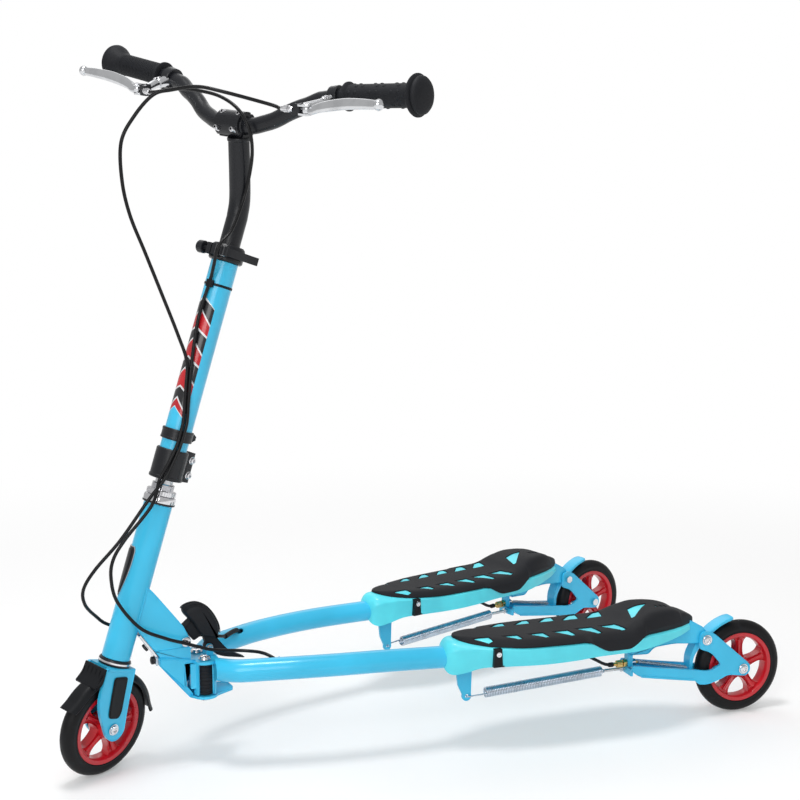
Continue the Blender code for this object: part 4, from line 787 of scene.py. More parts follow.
def stem():
    look = stemLook
    top = headLook["high"] + 0.0125
    knurl = [collarRing(0.0131, 0.0203, top, top + 0.0075, 0.0008)]
    for turn in np.arange(0, 360, 10):  # the grip round the lock ring's edge
        knurl.append(moved(box((0.0196, -0.0009, top + 0.0012), (0.0207, 0.0009, top + 0.0064), 0.0003),
                           spin("Z", turn)))
    threads = [(0.0128, top + 0.0075), (0.0152, top + 0.0075)]
    for k in range(6):
        threads += [(0.0152, top + 0.0078 + 0.0014 * k), (0.0160, top + 0.0085 + 0.0014 * k)]
    threads += [(0.0152, top + 0.0165), (0.0128, top + 0.0165)]
    put("lockRing", knurl + [turned(threads, (0, 0, 0), (0, 0, 1), 72)], steerPlace, "steering", "chrome",
        ["lock_ring"], 40)

    low, high = look["clampLow"], look["clampHigh"]
    clamp = [collarRing(look["radius"] + 0.0003, 0.0228, low, high, 0.0016)]
    for side in (1, -1):
        ear = [(side * 0.0009, 0.0190), (side * 0.0095, 0.0190), (side * 0.0080, 0.0390), (side * 0.0009, 0.0390)]
        clamp.append(slab(rounded(ear, [0.0002, 0.002, 0.003, 0.0002], 4), low, high, 0.0012, "xy"))
    clamp.append(collarRing(look["radius"] + 0.0003, 0.0236, low, low + 0.0050, 0.0010))
    put("stemClamp", clamp, steerPlace, "steering", "black", ["stem_clamp"])
    bolts = []
    for level in (low + 0.0105, high - 0.0105):
        bolts.append(rod((0.0078, 0.0335, level), (0.0094, 0.0335, level), 0.0056, 36, 0.0004))
        bolts.append(bolt((0.0092, 0.0335, level), (1, 0, 0), 0.0044, 0.0030, "hex"))
        bolts.append(nut((-0.0082, 0.0335, level), (-1, 0, 0), 0.0046, 0.0028))
    put("stemClampBolts", bolts, steerPlace, "steering", "chrome")

    tubeWall = [(look["bore"], look["low"]), (look["radius"] - 0.0004, look["low"]), (look["radius"], look["low"] + 0.0004),
                (look["radius"], look["high"] - 0.0006), (look["radius"] - 0.0006, look["high"]),
                (look["bore"], look["high"])]
    put("stemTube", [turned(tubeWall, (0, 0, 0), (0, 0, 1), 96)], steerPlace, "steering", "sticker", ["stem_tube"])

    low, high = look["ringLow"], look["ringHigh"]
    middle = (low + high) / 2
    shapes = [collarRing(look["radius"] + 0.0003, 0.0218, low, high),
              collarRing(look["radius"] + 0.0003, 0.0222, low, low + 0.0040, 0.0008),
              collarRing(look["radius"] + 0.0003, 0.0222, high - 0.0040, high, 0.0008)]
    for side in (1, -1):
        ear = [(side * 0.0006, 0.0200), (side * 0.0050, 0.0200), (side * 0.0050, 0.0285), (side * 0.0006, 0.0285)]
        shapes.append(slab(rounded(ear, 0.0012, 3), low + 0.003, high - 0.003, 0.0009, "xy"))
    shapes.append(rod((-0.0085, 0.0250, middle), (0.0085, 0.0250, middle), 0.0034))
    lobes = 1 + 0.10 * np.cos(6 * turnFine)
    shapes.append(around((0.0048, 0.0250, middle), (1, 0, 0), [
        (0, 0.0040), (0.0004, 0.0048 * lobes), (0.0030, 0.0050 * lobes), (0.0037, 0.0044 * lobes), (0.0039, 0.0030)]))
    put("ringClamp", shapes, steerPlace, "steering", "black", ["ring_clamp"])

    # the cables' clip: a small black saddle on the front of the tube
    saddle = [collarRing(look["radius"], 0.0198, 0.7052, 0.7088, 0.0004),
              moved(box((-0.0052, -0.0268, 0.7020), (0.0052, -0.0190, 0.7120), 0.0016), spin("Z", 12))]
    put("cableClip", saddle, steerPlace, "steering", "plastic")


def quickRelease():
    low, high = stemLook["collarLow"], stemLook["collarHigh"]
    middle = (low + high) / 2
    inner = stemLook["postRadius"] + 0.0004
    shapes = [turned([(inner, low), (0.0222, low), (0.0240, low + 0.0020), (0.0240, high - 0.0060),
                      (0.0226, high - 0.0020), (0.0205, high), (inner, high)], (0, 0, 0), (0, 0, 1), 72)]
    for side in (1, -1):
        ear = [(side * 0.0008, -0.0200), (side * 0.0110, -0.0200), (side * 0.0110, -0.0310), (side * 0.0080, -0.0340),
               (side * 0.0008, -0.0340)]
        shapes.append(slab(rounded(ear, 0.0012, 3), low + 0.004, high - 0.004, 0.0011, "xy"))
    shapes.append(rod((-0.0200, -0.0270, middle), (0.0120, -0.0270, middle), 0.0032))
    ribs = 1 + 0.05 * np.abs(np.cos(10 * turnFine))
    shapes.append(around((-0.0172, -0.0270, middle), (-1, 0, 0), [
        (0, 0.0070), (0.0006, 0.0082), (0.0012, 0.0085 * ribs), (0.0098, 0.0085 * ribs), (0.0108, 0.0080),
        (0.0116, 0.0068), (0.0118, 0.0040)]))
    put("releaseCollar", shapes, steerPlace, "steering", "black", ["seat_collar"])

    axis = (0.0185, -0.0270)
    flat = spline([(0.0165, -0.0325), (0.0215, -0.0305), (0.0270, -0.0200), (0.0300, -0.0060), (0.0318, 0.0120),
                   (0.0348, 0.0245), (0.0352, 0.0268), (0.0326, 0.0275)], 6)
    back = spline([(0.0292, 0.0160), (0.0268, -0.0060), (0.0228, -0.0190), (0.0160, -0.0250)], 6)
    lever = slab(np.vstack([flat, back]), middle - 0.0055, middle + 0.0055, 0.0011, "xy")
    cam = turned([(0.0032, -0.0065), (0.0052, -0.0065), (0.0060, -0.0055), (0.0060, 0.0055), (0.0052, 0.0065),
                  (0.0032, 0.0065)], (*axis, middle), (0, 0, 1), 48)
    pinHead = bolt((*axis, middle + 0.0060), (0, 0, 1), 0.0034, 0.0012, "hex")
    put("releaseLever", [lever, cam], steerPlace, "quick_release", "black", ["quick_release"])
    put("releasePin", [pinHead, rod((*axis, middle - 0.0068), (*axis, middle + 0.0064), 0.0031)], steerPlace,
        "quick_release", "steel")


barLook = {
    "centre": np.array([0.0, -0.0441, 0.9240]),
    "rise": np.array([0.0, 0.1851, 0.9827]),
    "postBend": np.array([0.0, -0.0160, 0.8580]),
    "postEnd": np.array([0.0, -0.0385, 0.9080]),
    "radius": 0.0111,
    "gripRadius": 0.0155,
    "gripInner": 0.1720,
    "gripOuter": 0.2720,
    "end": 0.2850,
    "clampX": 0.1550,
    "pivot": np.array([0.1580, -0.0874, 0.9445]),
    "pull": np.array([0.0, 0.8750, 0.4840]),
    "ferrule": np.array([0.1222, -0.0958, 0.9402]),
    "front": (0.3, -0.8, 0.5),
    "bladeTall": 1.7,
}


def barLine():
    # the left half: level in the clamp, then a deep rise to the grips
    rises = np.array([(0.0, 0.0), (0.030, 0.0), (0.0516, 0.0068), (0.068, 0.0140), (0.0855, 0.0262), (0.101, 0.0350),
                      (0.114, 0.0408), (0.128, 0.0490), (0.1365, 0.0515), (0.173, 0.0595), (0.222, 0.0645),
                      (barLook["end"], 0.0724)])
    return barLook["centre"] + rises[:, :1] * [1, 0, 0] + rises[:, 1:] * barLook["rise"]


def barPoint(x):
    line = barLine()
    return np.array([x, np.interp(x, line[:, 0], line[:, 1]), np.interp(x, line[:, 0], line[:, 2])])


def postAndBar():
    off = np.array([-scooter["barShift"], 0, 0])
    bend = spline([off + (0, 0, 0.8050), off + (0, -0.0040, 0.8280), off + barLook["postBend"],
                   off + barLook["postEnd"]], 10)
    path = np.vstack([[off + (0, 0, 0.5002)], [off + (0, 0, 0.7950)], bend])
    put("bentPost", [tube(path, stemLook["postRadius"], 48)], barPlace, "handlebar", "black", ["handle_post"])
    # two halves of the clamp round the bar, a hair apart, on a socket round the post
    centre = barLook["centre"]
    tilt = frameAt(centre, (1, 0, 0), barLook["rise"])
    tilt = tilt @ spin("X", 0)
    shapes = []
    for start, end in ((96, 264), (276, 444)):
        half = np.vstack([arc((0, 0), 0.0184, start, end, 24), arc((0, 0), barLook["radius"] + 0.0002, end, start, 24)])
        shapes.append(moved(slab(half, -0.0219, 0.0219, 0.0016), tilt @ spin("X", 90)))
    ahead = unit(barLook["postEnd"] - barLook["postBend"])
    foot = barLook["postEnd"] + off
    shapes.append(tube([foot - ahead * 0.0050, foot - ahead * 0.0042, foot - ahead * 0.001, foot],
                       [0.0149, 0.0157, 0.0160, 0.0156], 48))
    put("barClamp", shapes, barPlace, "handlebar", "black", ["bar_clamp"])
    bolts = []
    for across in (-0.0150, 0.0150):
        for level in (-0.0120, 0.0120):
            spot = centre + barLook["rise"] * level + (across, -0.0100, 0)
            bolts.append(bolt(spot, (0, -1, 0), 0.0036, 0.0089, "hex"))
    put("barClampBolts", bolts, barPlace, "handlebar", "chrome")
    half = barLine()
    whole = spline(np.vstack([half[:0:-1] * (-1, 1, 1), half]), 8)
    put("handlebarTube", [tube(whole, barLook["radius"], 40)], barPlace, "handlebar", "black", ["handlebar"])


def gripEnds(word, side):
    inner, outer = barPoint(barLook["gripInner"]), barPoint(barLook["gripOuter"])
    along, length = unit(outer - inner), np.linalg.norm(outer - inner)
    mirror = np.diag([side, 1, 1, 1])
    bore, radius = barLook["radius"] + 0.0002, barLook["gripRadius"]
    if word == "left":
        # a broad flange and a domed cap with a groove round it
        profile = [(bore, 0.0), (0.0182, 0.0), (0.0190, 0.0008), (0.0190, 0.0028), (0.0176, 0.0042), (radius, 0.0058),
                   (radius, length), (0.0180, length + 0.0018), (0.0240, length + 0.0044),
                   (0.0262, length + 0.0056), (0.0274, length + 0.0074), (0.0274, length + 0.0088),
                   (0.0262, length + 0.0100), (0.0232, length + 0.0108), (0.0226, length + 0.0114),
                   (0.0242, length + 0.0122), (0.0246, length + 0.0136), (0.0240, length + 0.0158),
                   (0.0218, length + 0.0182), (0.0180, length + 0.0198), (0.0130, length + 0.0208),
                   (0.0060, length + 0.0213), (0.0004, length + 0.0215), (0.0004, length + 0.0160),
                   (bore, length + 0.0150)]
    else:
        # fine rings along it, and an end that flares and closes flat
        profile = [(bore, 0.0), (0.0180, 0.0), (0.0190, 0.0008), (0.0190, 0.0026), (0.0178, 0.0038), (0.0156, 0.0052)]
        for k in range(24):
            level = 0.0080 + k * 0.0034
            profile += [(radius, level), (radius, level + 0.0022), (radius - 0.0005, level + 0.0026),
                        (radius - 0.0005, level + 0.0032)]
        profile += [(radius, length - 0.0080), (0.0172, length - 0.0040), (0.0214, length + 0.0020),
                    (0.0244, length + 0.0080), (0.0252, length + 0.0120), (0.0246, length + 0.0150),
                    (0.0222, length + 0.0168), (0.0150, length + 0.0180), (0.0004, length + 0.0184),
                    (0.0004, length + 0.0160), (bore, length + 0.0150)]
    shapes = [moved(turned(profile, inner, along, 64), mirror)]
    if word == "left":
        knob = around((0, 0, 0), (0, 0, 1), [(0, 0.0025), (0.0005, 0.0022), (0.0009, 0.0014), (0.0010, 0.0006)], 16)
        across = unit(np.cross(along, [0, 0, 1.0]))
        up = np.cross(along, across)
        places = []
        for k in range(10):  # knobs in pairs, and each row half a step further on
            turn = 2 * np.pi * k / 10
            out = np.cos(turn) * across + np.sin(turn) * up
            for level in (0.0110, 0.0210, 0.0440, 0.0540, 0.0770, 0.0870):
                level = level + (0.0090 if k % 2 else 0.0)
                if level < 0.0930:
                    spot = inner + along * level + out * (radius - 0.0001)
                    places.append(frameAt(spot, along, np.cross(out, along)))
        shapes.append(moved(copies(knob, places), mirror))
    put(word + "Grip", shapes, barPlace, "handlebar", "rubber", [word + "_grip"], 40)


def leverSet(word, side):
    mirror = barPlace @ np.diag([side, 1, 1, 1])
    pivot, pull, ferrule = barLook["pivot"], barLook["pull"], barLook["ferrule"]
    spot = barPoint(barLook["clampX"])
    along = unit(barPoint(barLook["clampX"] + 0.01) - barPoint(barLook["clampX"] - 0.01))
    band = [(barLook["radius"] + 0.0002, -0.0070), (0.0150, -0.0070), (0.0160, -0.0058), (0.0160, 0.0058),
            (0.0150, 0.0070), (barLook["radius"] + 0.0002, 0.0070)]
    shapes = [turned(band, spot, along, 56)]
    down = unit((pivot - spot) * (0, 1, 1))
    body = pivot + (-0.0140, 0, 0)
    arm = spline([spot + down * 0.0120, spot + down * 0.0240, spot + down * 0.0330 + (0.0, 0, 0), body], 8)
    perch = [tube(arm, np.linspace(0.0078, 0.0060, len(arm)), 24)]
    plateFrame = frameAt(pivot, (1, 0, 0), pull)
    core = rounded([(-0.0240, -0.0055), (-0.0086, -0.0055), (-0.0086, 0.0055), (-0.0240, 0.0055)], 0.003, 4)
    shapes.append(moved(slab(core, -0.0072, 0.0072, 0.0014, "xy"), plateFrame))
    cheek = np.vstack([[(-0.0120, -0.0053)], arc((0, 0), 0.0058, -70, 70, 12), [(-0.0120, 0.0053)]])
    for low in (-0.0070, 0.0044):
        perch.append(moved(slab(cheek, low, low + 0.0026, 0.0006, "xy"), plateFrame))
    put(word + "LeverBracket", shapes, mirror, "handlebar", "black", [word + "_lever_bracket"])
    put(word + "LeverPerch", perch, mirror, "handlebar", "polished")
    reach = unit(ferrule - pivot)
    start = pivot + reach * 0.0200
    knurls = 1 + 0.04 * np.cos(16 * turnFine)
    barrel = [around(start, reach, [(0, 0.0030), (0.0012, 0.0034), (0.0060, 0.0034), (0.0064, 0.0044 * knurls),
                                    (0.0120, 0.0044 * knurls), (0.0124, 0.0036), (0.0160, 0.0034), (0.0166, 0.0028)]),
              nut(start + reach * 0.0024, reach, 0.0046, 0.0030)]
    pin = bolt(pivot + plateFrame[:3, 2] * 0.0070, plateFrame[:3, 2], 0.0040, 0.0012)
    clampBolt = bolt(spot - down * 0.0132 + (0, 0, 0), -down, 0.0034, 0.0026, "hex")
    screws = [pin, clampBolt]
    for share in (0.30, 0.52):  # on the perch's front, beside the clamp
        k = int(share * len(arm))
        run = unit(arm[k + 1] - arm[k - 1])
        out = unit(np.cross(run, np.cross(np.array(barLook["front"]), run)))
        screws.append(bolt(arm[k] + out * 0.0068, out, 0.0034, 0.0016))
    put(word + "CableBarrel", barrel + screws, mirror, "handlebar", "chrome")
    blade = spline([pivot + (0.0030, 0, 0), pivot + (0.0090, 0, 0), (0.1760, -0.0868, 0.9486), (0.1918, -0.0865, 0.9530),
                    (0.2182, -0.0883, 0.9573), (0.2450, -0.0900, 0.9592), (0.2700, -0.0919, 0.9598)], 8)
    thick = np.interp(np.linspace(0, 6, len(blade)), range(7), [0.0032, 0.0034, 0.0038, 0.0044, 0.0045, 0.0041, 0.0034])
    ball = np.array([(0.0004, -0.0060), (0.0028, -0.0057), (0.0052, -0.0044), (0.0068, -0.0024), (0.0074, 0.0),
                     (0.0068, 0.0024), (0.0052, 0.0044), (0.0028, 0.0057), (0.0004, 0.0060)])
    hinge = np.cross([1, 0, 0], pull)
    knuckle = rod(pivot - hinge * 0.0040, pivot + hinge * 0.0040, 0.0056, 40, 0.0006)
    put(word + "BrakeLever", [tube(blade, thick, 32, barLook["bladeTall"]), turned(ball, (0.2734, -0.0921, 0.9600), (1, 0, 0), 40),
                                 knuckle],
        mirror, word + "_brake_lever", "polished", [word + "_brake_lever"], 50)


stem()
quickRelease()
postAndBar()
for word, side in (("left", 1), ("right", -1)):
    gripEnds(word, side)
    leverSet(word, side)
print("stem, post, bar, grips and levers made")


# Bracket with the fold pin, latch and pedal


def carved(shape, cutters):
    # the shape less its cutters, worked out by exact Booleans on objects that are then thrown away
    made = []
    for points, faces in [shape, *cutters]:
        mesh = bpy.data.meshes.new("carving")
        mesh.from_pydata(np.asarray(points).tolist(), [], faces)
        made.append(bpy.data.objects.new("carving", mesh))
        bpy.context.collection.objects.link(made[-1])
    for cutter in made[1:]:
        modifier = made[0].modifiers.new("cut", "BOOLEAN")
        modifier.operation, modifier.solver, modifier.object = "DIFFERENCE", "EXACT", cutter
    mesh = made[0].evaluated_get(bpy.context.evaluated_depsgraph_get()).to_mesh()
    points = np.empty(len(mesh.vertices) * 3)
    mesh.vertices.foreach_get("co", points)
    faces = [list(polygon.vertices) for polygon in mesh.polygons]
    for one in made:
        bpy.data.objects.remove(one)
    return points.reshape(-1, 3), faces


bracketLook = {
    "pivotX": scooter["pivotX"],
    "pivotY": scooter["pivotY"],
    "capRadius": 0.0190,
    "topLow": 0.1480,
    "topHigh": 0.1520,
    "lowLow": 0.0974,
    "lowHigh": 0.1010,
    "pedalPin": (-0.3215, 0.1640),
}


def pivotBracket():
    look = bracketLook
    px, py = look["pivotX"], look["pivotY"]
    top = np.vstack([[(-0.0183, -0.3500), (0.0183, -0.3500)], arc((px, py), look["capRadius"], -50, 80, 16),
                     rounded([(0.0100, -0.3136), (0.0065, -0.3136), (0.0065, -0.3265), (-0.0065, -0.3265),
                              (-0.0065, -0.3136), (-0.0100, -0.3136)], 0.0016, 3)[4:20],
                     arc((-px, py), look["capRadius"], 100, 230, 16)])
    low = np.vstack([[(-0.0165, -0.3540), (0.0165, -0.3540)], arc((px, py), 0.0175, -55, 60, 14),
                     rounded([(0.0200, -0.3100), (0.0150, -0.2905), (0.0095, -0.2880), (-0.0095, -0.2880),
                              (-0.0150, -0.2905), (-0.0200, -0.3100)], 0.004, 4)[5:25],
                     arc((-px, py), 0.0175, 120, 235, 14)])
    shapes = [slab(top, look["topLow"], look["topHigh"], 0.0011, "xy"), slab(low, look["lowLow"], look["lowHigh"], 0.0010, "xy")]
    nose = rounded([(-0.3975, 0.1500), (-0.3975, 0.1620), (-0.3450, 0.1519), (-0.3450, 0.1481), (-0.3625, 0.1481),
                    (-0.3625, 0.1130)], [0.001, 0.0035, 0.004, 0.0004, 0.001, 0.001], 4)
    shapes.append(slab(nose, -0.0183, 0.0183, 0.0016))
    web = rounded([(-0.3972, 0.1500), (-0.3545, 0.0976), (-0.3500, 0.0976), (-0.3500, 0.1030), (-0.3700, 0.1300),
                   (-0.3972, 0.1560)], 0.003, 4)
    shapes.append(slab(web, -0.0165, 0.0165, 0.0012))
    saddle = rounded([(-0.4033, 0.1718), (-0.3950, 0.1600), (-0.3940, 0.1550), (-0.3520, 0.1500), (-0.3520, 0.1718)],
                     [0.001, 0.003, 0.001, 0.001, 0.003], 4)
    shapes.append(slab(saddle, -0.0163, 0.0163, 0.0010))
    lug = np.vstack([arc(foldPin, 0.0075, 0, 180, 16), [(-0.3665, 0.1650), (-0.3515, 0.1650)]])
    shapes.append(slab(lug, -0.0060, 0.0060, 0.0006))
    ear = np.vstack([arc(look["pedalPin"], 0.0050, 0, 180, 12), [(-0.3265, 0.1500), (-0.3165, 0.1500)]])
    shapes += [slab(ear, start, start + 0.0030, 0.0005) for start in (-0.0092, 0.0062)]
    for side in (1, -1):  # beads of weld along the saddle and under the top plate
        for start, end in (((side * 0.0166, -0.3990, 0.1600), (side * 0.0166, -0.3560, 0.1530)),
                           ((side * 0.0170, -0.3600, 0.1170), (side * 0.0170, -0.3620, 0.1460))):
            s = np.linspace(0, 1, 30)[:, None]
            line = np.array(start) * (1 - s) + np.array(end) * s
            shapes.append(tube(line, 0.0011 + 0.00018 * np.sin(np.linspace(0, 20 * np.pi, 30)), 10))
    put("pivotBracket", shapes, bracketPlace, "pivot_bracket", "blue", ["pivot_bracket"])

    for word, side in (("left", 1), ("right", -1)):
        x = side * px
        topFace, lowFace = look["topHigh"] + 0.0002, look["lowLow"] - 0.0002
        shapes = [turned([(0.0054, 0.0), (0.0054, 0.0007), (0.0090, 0.0007), (0.0092, 0.0)], (x, py, topFace), (0, 0, 1)),
                  bolt((x, py, topFace + 0.0006), (0, 0, 1), 0.0074, 0.0032),
                  nut((x, py, lowFace), (0, 0, -1), 0.0080, 0.0046),
                  rod((x, py, look["lowHigh"]), (x, py, look["topLow"]), 0.0050),
                  rod((x, py, lowFace - 0.0063), (x, py, lowFace), 0.0040)]
        put(word + "PivotBolt", shapes, bracketPlace, "pivot_bracket", "chrome", [word + "_pivot_bolt"])


def foldGear():
    y, z = foldPin
    shapes = [rod((-0.0190, y, z), (0.0190, y, z), 0.0038)]
    for side in (1, -1):
        shapes.append(bolt((side * 0.0169, y, z), (side, 0, 0), 0.0070, 0.0035, "hex"))
    put("foldPin", shapes, bracketPlace, "pivot_bracket", "chrome", ["fold_pin"])
    strike = rounded([(-0.4216, 0.1966), (-0.3981, 0.1627), (-0.3981, 0.1500), (-0.4011, 0.1500), (-0.4011, 0.1617),
                      (-0.4241, 0.1949)], [0.0008, 0.004, 0.0006, 0.0006, 0.004, 0.0008], 4)
    put("latchPlate", [slab(strike, -0.0120, 0.0120, 0.0005)], bracketPlace, "pivot_bracket", "polished",
        ["latch_plate"])
    heads = [bolt((0, -0.4112, 0.1752), (0, -0.822, -0.571), 0.0056, 0.0040, "hex"),
             bolt((0, -0.4009, 0.1543), (0, -1, 0), 0.0056, 0.0042, "hex")]
    put("latchBolts", heads, bracketPlace, "pivot_bracket", "black")
    y, z = bracketLook["pedalPin"]
    shapes = [rod((-0.0112, y, z), (0.0112, y, z), 0.0027)]
    for side in (1, -1):
        shapes.append(bolt((side * 0.0096, y, z), (side, 0, 0), 0.0045, 0.0021, "hex"))
    put("pedalPin", shapes, bracketPlace, "pivot_bracket", "steel", ["pedal_pin"])


def foldPedal():
    # the head: sections across a helmet's outline, full in the middle and rolled off at both sides
    line = spline([(-0.3478, 0.2048), (-0.3572, 0.2170), (-0.3560, 0.2246), (-0.3450, 0.2288), (-0.3335, 0.2283),
                   (-0.3225, 0.2225), (-0.3150, 0.2130), (-0.3090, 0.2010), (-0.3063, 0.1905), (-0.3068, 0.1800),
                   (-0.3090, 0.1752), (-0.3215, 0.1786), (-0.3337, 0.1830), (-0.3420, 0.1940)], 5)
    across = np.sin(np.linspace(-np.pi / 2, np.pi / 2, 23))
    rings = []
    for u in across:
        flat = inset(line, 0.0062 * (1 - np.sqrt(1 - 0.985 * u * u)))
        flat = flat - (0, 0.0016 * u * u)
        rings.append(np.column_stack([np.full(len(flat), 0.0140 * u), flat]))
    shapes = [skin(rings)]
    for x in (-0.0100, -0.0060, -0.0020, 0.0020, 0.0060, 0.0100):  # tread ribs over the crown
        crest = line[8:44] - (0, 0.0009 * (x / 0.010) ** 2)
        shapes.append(tube(np.column_stack([np.full(len(crest), x), crest]), 0.0006, 8))
    neck = rounded([(-0.3455, 0.2075), (-0.3583, 0.1970), (-0.3450, 0.1768), (-0.3325, 0.1835), (-0.3280, 0.1950)],
                   0.003, 4)
    shapes.append(slab(neck, -0.0090, 0.0090, 0.0016))
    leg = np.vstack([spline([(-0.3120, 0.1830), (-0.3085, 0.1745), (-0.2905, 0.1534), (-0.2677, 0.1402)], 6),
                     spline([(-0.2690, 0.1396), (-0.3024, 0.1470), (-0.3171, 0.1575), (-0.3275, 0.1744),
                             (-0.3250, 0.1860)], 6)])
    shapes.append(slab(leg, -0.0050, 0.0050, 0.0012))
    y, z = bracketLook["pedalPin"]
    shapes.append(rod((-0.0052, y, z), (0.0052, y, z), 0.0056))
    put("foldPedal", shapes, bracketPlace, "fold_pedal", "rubber", ["fold_pedal"])


pivotBracket()
foldGear()
foldPedal()
print("bracket, fold pin, latch and pedal made")

# Arms, in the frame whose first axis points outward and whose second runs back along the arm

armLook = {
    "line": scooter["armLine"],
    "tubeRadius": 0.0160,
    "barrelRadius": 0.0160,
    "barrelLow": 0.1014,
    "barrelHigh": 0.1476,
    "bushRadius": 0.0112,
    "boltY": 0.7576,
    "boltZ": 0.1250,
    "axleY": 0.8225,
    "plateInside": 0.0168,
    "plateOutside": 0.0206,
    "neckInside": 0.0126,
    "neckOutside": 0.0162,
    "springX": scooter["armLine"] - 0.0035,
    "springRadius": 0.0080,
    "adjusterX": scooter["armLine"] + 0.0040,
    "adjusterZ": 0.0973,
}
tubeRoute = [
    (0.0085, 0.0105, 0.1385), (0.0250, 0.0270, 0.1398), (0.0372, 0.0440, 0.1410), (0.0450, 0.0780, 0.1420),
    (0.0540, 0.1250, 0.1430), (0.0595, 0.1800, 0.1428), (0.0610, 0.2400, 0.1416), (0.0602, 0.3000, 0.1390),
    (0.0586, 0.3500, 0.1365), (armLook["line"], 0.4000, 0.1340), (armLook["line"], 0.5200, 0.1326),
    (armLook["line"], 0.6450, 0.1312),
]
line = armLook["line"]


def armTube(word):
    look = armLook
    low, high = look["barrelLow"], look["barrelHigh"]
    body = tube(spline(tubeRoute, 12), look["tubeRadius"], 48)
    barrel = turned([(look["bushRadius"] + 0.0003, low), (look["barrelRadius"] - 0.0008, low),
                     (look["barrelRadius"], low + 0.0008), (look["barrelRadius"], high - 0.0008),
                     (look["barrelRadius"] - 0.0008, high), (look["bushRadius"] + 0.0003, high)],
                    (0, 0, 0), (0, 0, 1), 72)
    capRoom = rod((0, 0, high), (0, 0, 0.2), bracketLook["capRadius"] + 0.0007, 64)
    bore = rod((0, 0, low - 0.01), (0, 0, high + 0.01), look["bushRadius"] + 0.0003, 64)
    window = box((0.0070, -0.0112, low - 0.01), (0.0400, 0.0112, high + 0.02), 0.0012)
    entry = tube([(0.0300, 0.0800, 0.1600), (0.0475, 0.1050, 0.1480)], 0.0042, 24)
    leave = tube([(look["adjusterX"] - 0.0015, 0.5350, 0.1300), (look["adjusterX"], 0.5800, 0.1065)], 0.0042, 24)
    shapes = [carved(body, [capRoom, bore, window, entry, leave]), carved(barrel, [window]),
              box((-0.0040, -0.0215, 0.1120), (0.0080, -0.0125, high), 0.0008)]
    # the mouth where the cable goes in, and small punched marks along the underside
    shapes.append(moved(turned([(0.0042, -0.0004), (0.0052, -0.0004), (0.0054, 0.0006), (0.0050, 0.0010),
                                (0.0042, 0.0008)], (0.0412, 0.0957, 0.1530), (-0.50, -0.72, 0.46), 32), np.eye(4)))
    for y in (0.3400, 0.4700, 0.5000, 0.5600):
        shapes.append(rod((line + 0.0100, y, 0.1196), (line + 0.0108, y, 0.1180), 0.0016, 20, 0.0003))
    put(word + "ArmTube", shapes, armPlaces[word], word + "_arm", "blue", [word + "_arm"], 40)
    ribs = [(look["bushRadius"] - 0.0040, low)]
    for k in range(9):
        level = low + 0.0006 + k * 0.0051
        ribs += [(look["bushRadius"] - 0.0007, level), (look["bushRadius"] + 0.0001, level + 0.0007),
                 (look["bushRadius"] + 0.0001, level + 0.0036), (look["bushRadius"] - 0.0007, level + 0.0043)]
    ribs.append((look["bushRadius"] - 0.0040, high))
    put(word + "PivotBush", [turned(ribs, (0, 0, 0), (0, 0, 1), 64)], armPlaces[word], word + "_arm", "rubber",
        [word + "_pivot_bush"], 40)


def neckOutline():
    return np.vstack([rounded([(0.6300, 0.1130), (0.6600, 0.1118), (0.6700, 0.1215), (0.7080, 0.1240), (0.7350, 0.1195)],
                              [0.002, 0.004, 0.006, 0.012, 0.001], 4)[:20],
                      arc((armLook["boltY"], armLook["boltZ"]), 0.0090, 215, 395, 18),
                      spline([(0.7510, 0.1460), (0.7268, 0.1590), (0.7000, 0.1650), (0.6600, 0.1500)], 5),
                      [(0.6300, 0.1480)]])


def tailFrame(word):
    look = armLook
    outline = neckOutline()
    inside, outside = look["neckInside"], look["neckOutside"]
    shapes = [slab(outline, inside, outside, 0.0009, middle=line), slab(outline, -outside, -inside, 0.0009, middle=line)]
    roof = [(0.6302, 0.1132), (0.6480, 0.1132), (0.6480, 0.1440), (0.6620, 0.1465), (0.7000, 0.1610), (0.7268, 0.1550),
            (0.7400, 0.1480), (0.7400, 0.1512), (0.7268, 0.1586), (0.7000, 0.1646), (0.6600, 0.1496), (0.6302, 0.1476)]
    shapes.append(slab(roof, -inside - 0.001, inside + 0.001, 0.0003, middle=line))
    hook = np.vstack([[(0.3555, 0.1260), (0.3830, 0.1260), (0.3815, 0.1100), (0.3805, 0.0850)],
                      arc((0.3735, 0.0726), 0.0072, 20, -200, 20), [(0.3600, 0.0900)]])
    eye = rod((look["springX"] - 0.01, 0.3741, 0.0726), (look["springX"] + 0.01, 0.3741, 0.0726), 0.0027, 32)
    shapes.append(carved(slab(rounded(hook, 0.0016, 2), -0.0020, 0.0020, 0.0007, middle=look["springX"]), [eye]))
    tab = rounded([(0.6290, 0.1200), (0.6370, 0.1200), (0.6370, 0.0925), (0.6290, 0.0925)], 0.0022, 4)
    shapes.append(slab(tab, -0.0060, 0.0060, 0.0008, middle=look["adjusterX"]))
    put(word + "TailFrame", shapes, armPlaces[word], word + "_arm", "blue")
    at_ = (line, look["boltY"], look["boltZ"])
    throughBolt(word + "SuspensionBolt", at_, look["plateOutside"], armPlaces[word], word + "_arm",
                word + "_suspension_bolt")


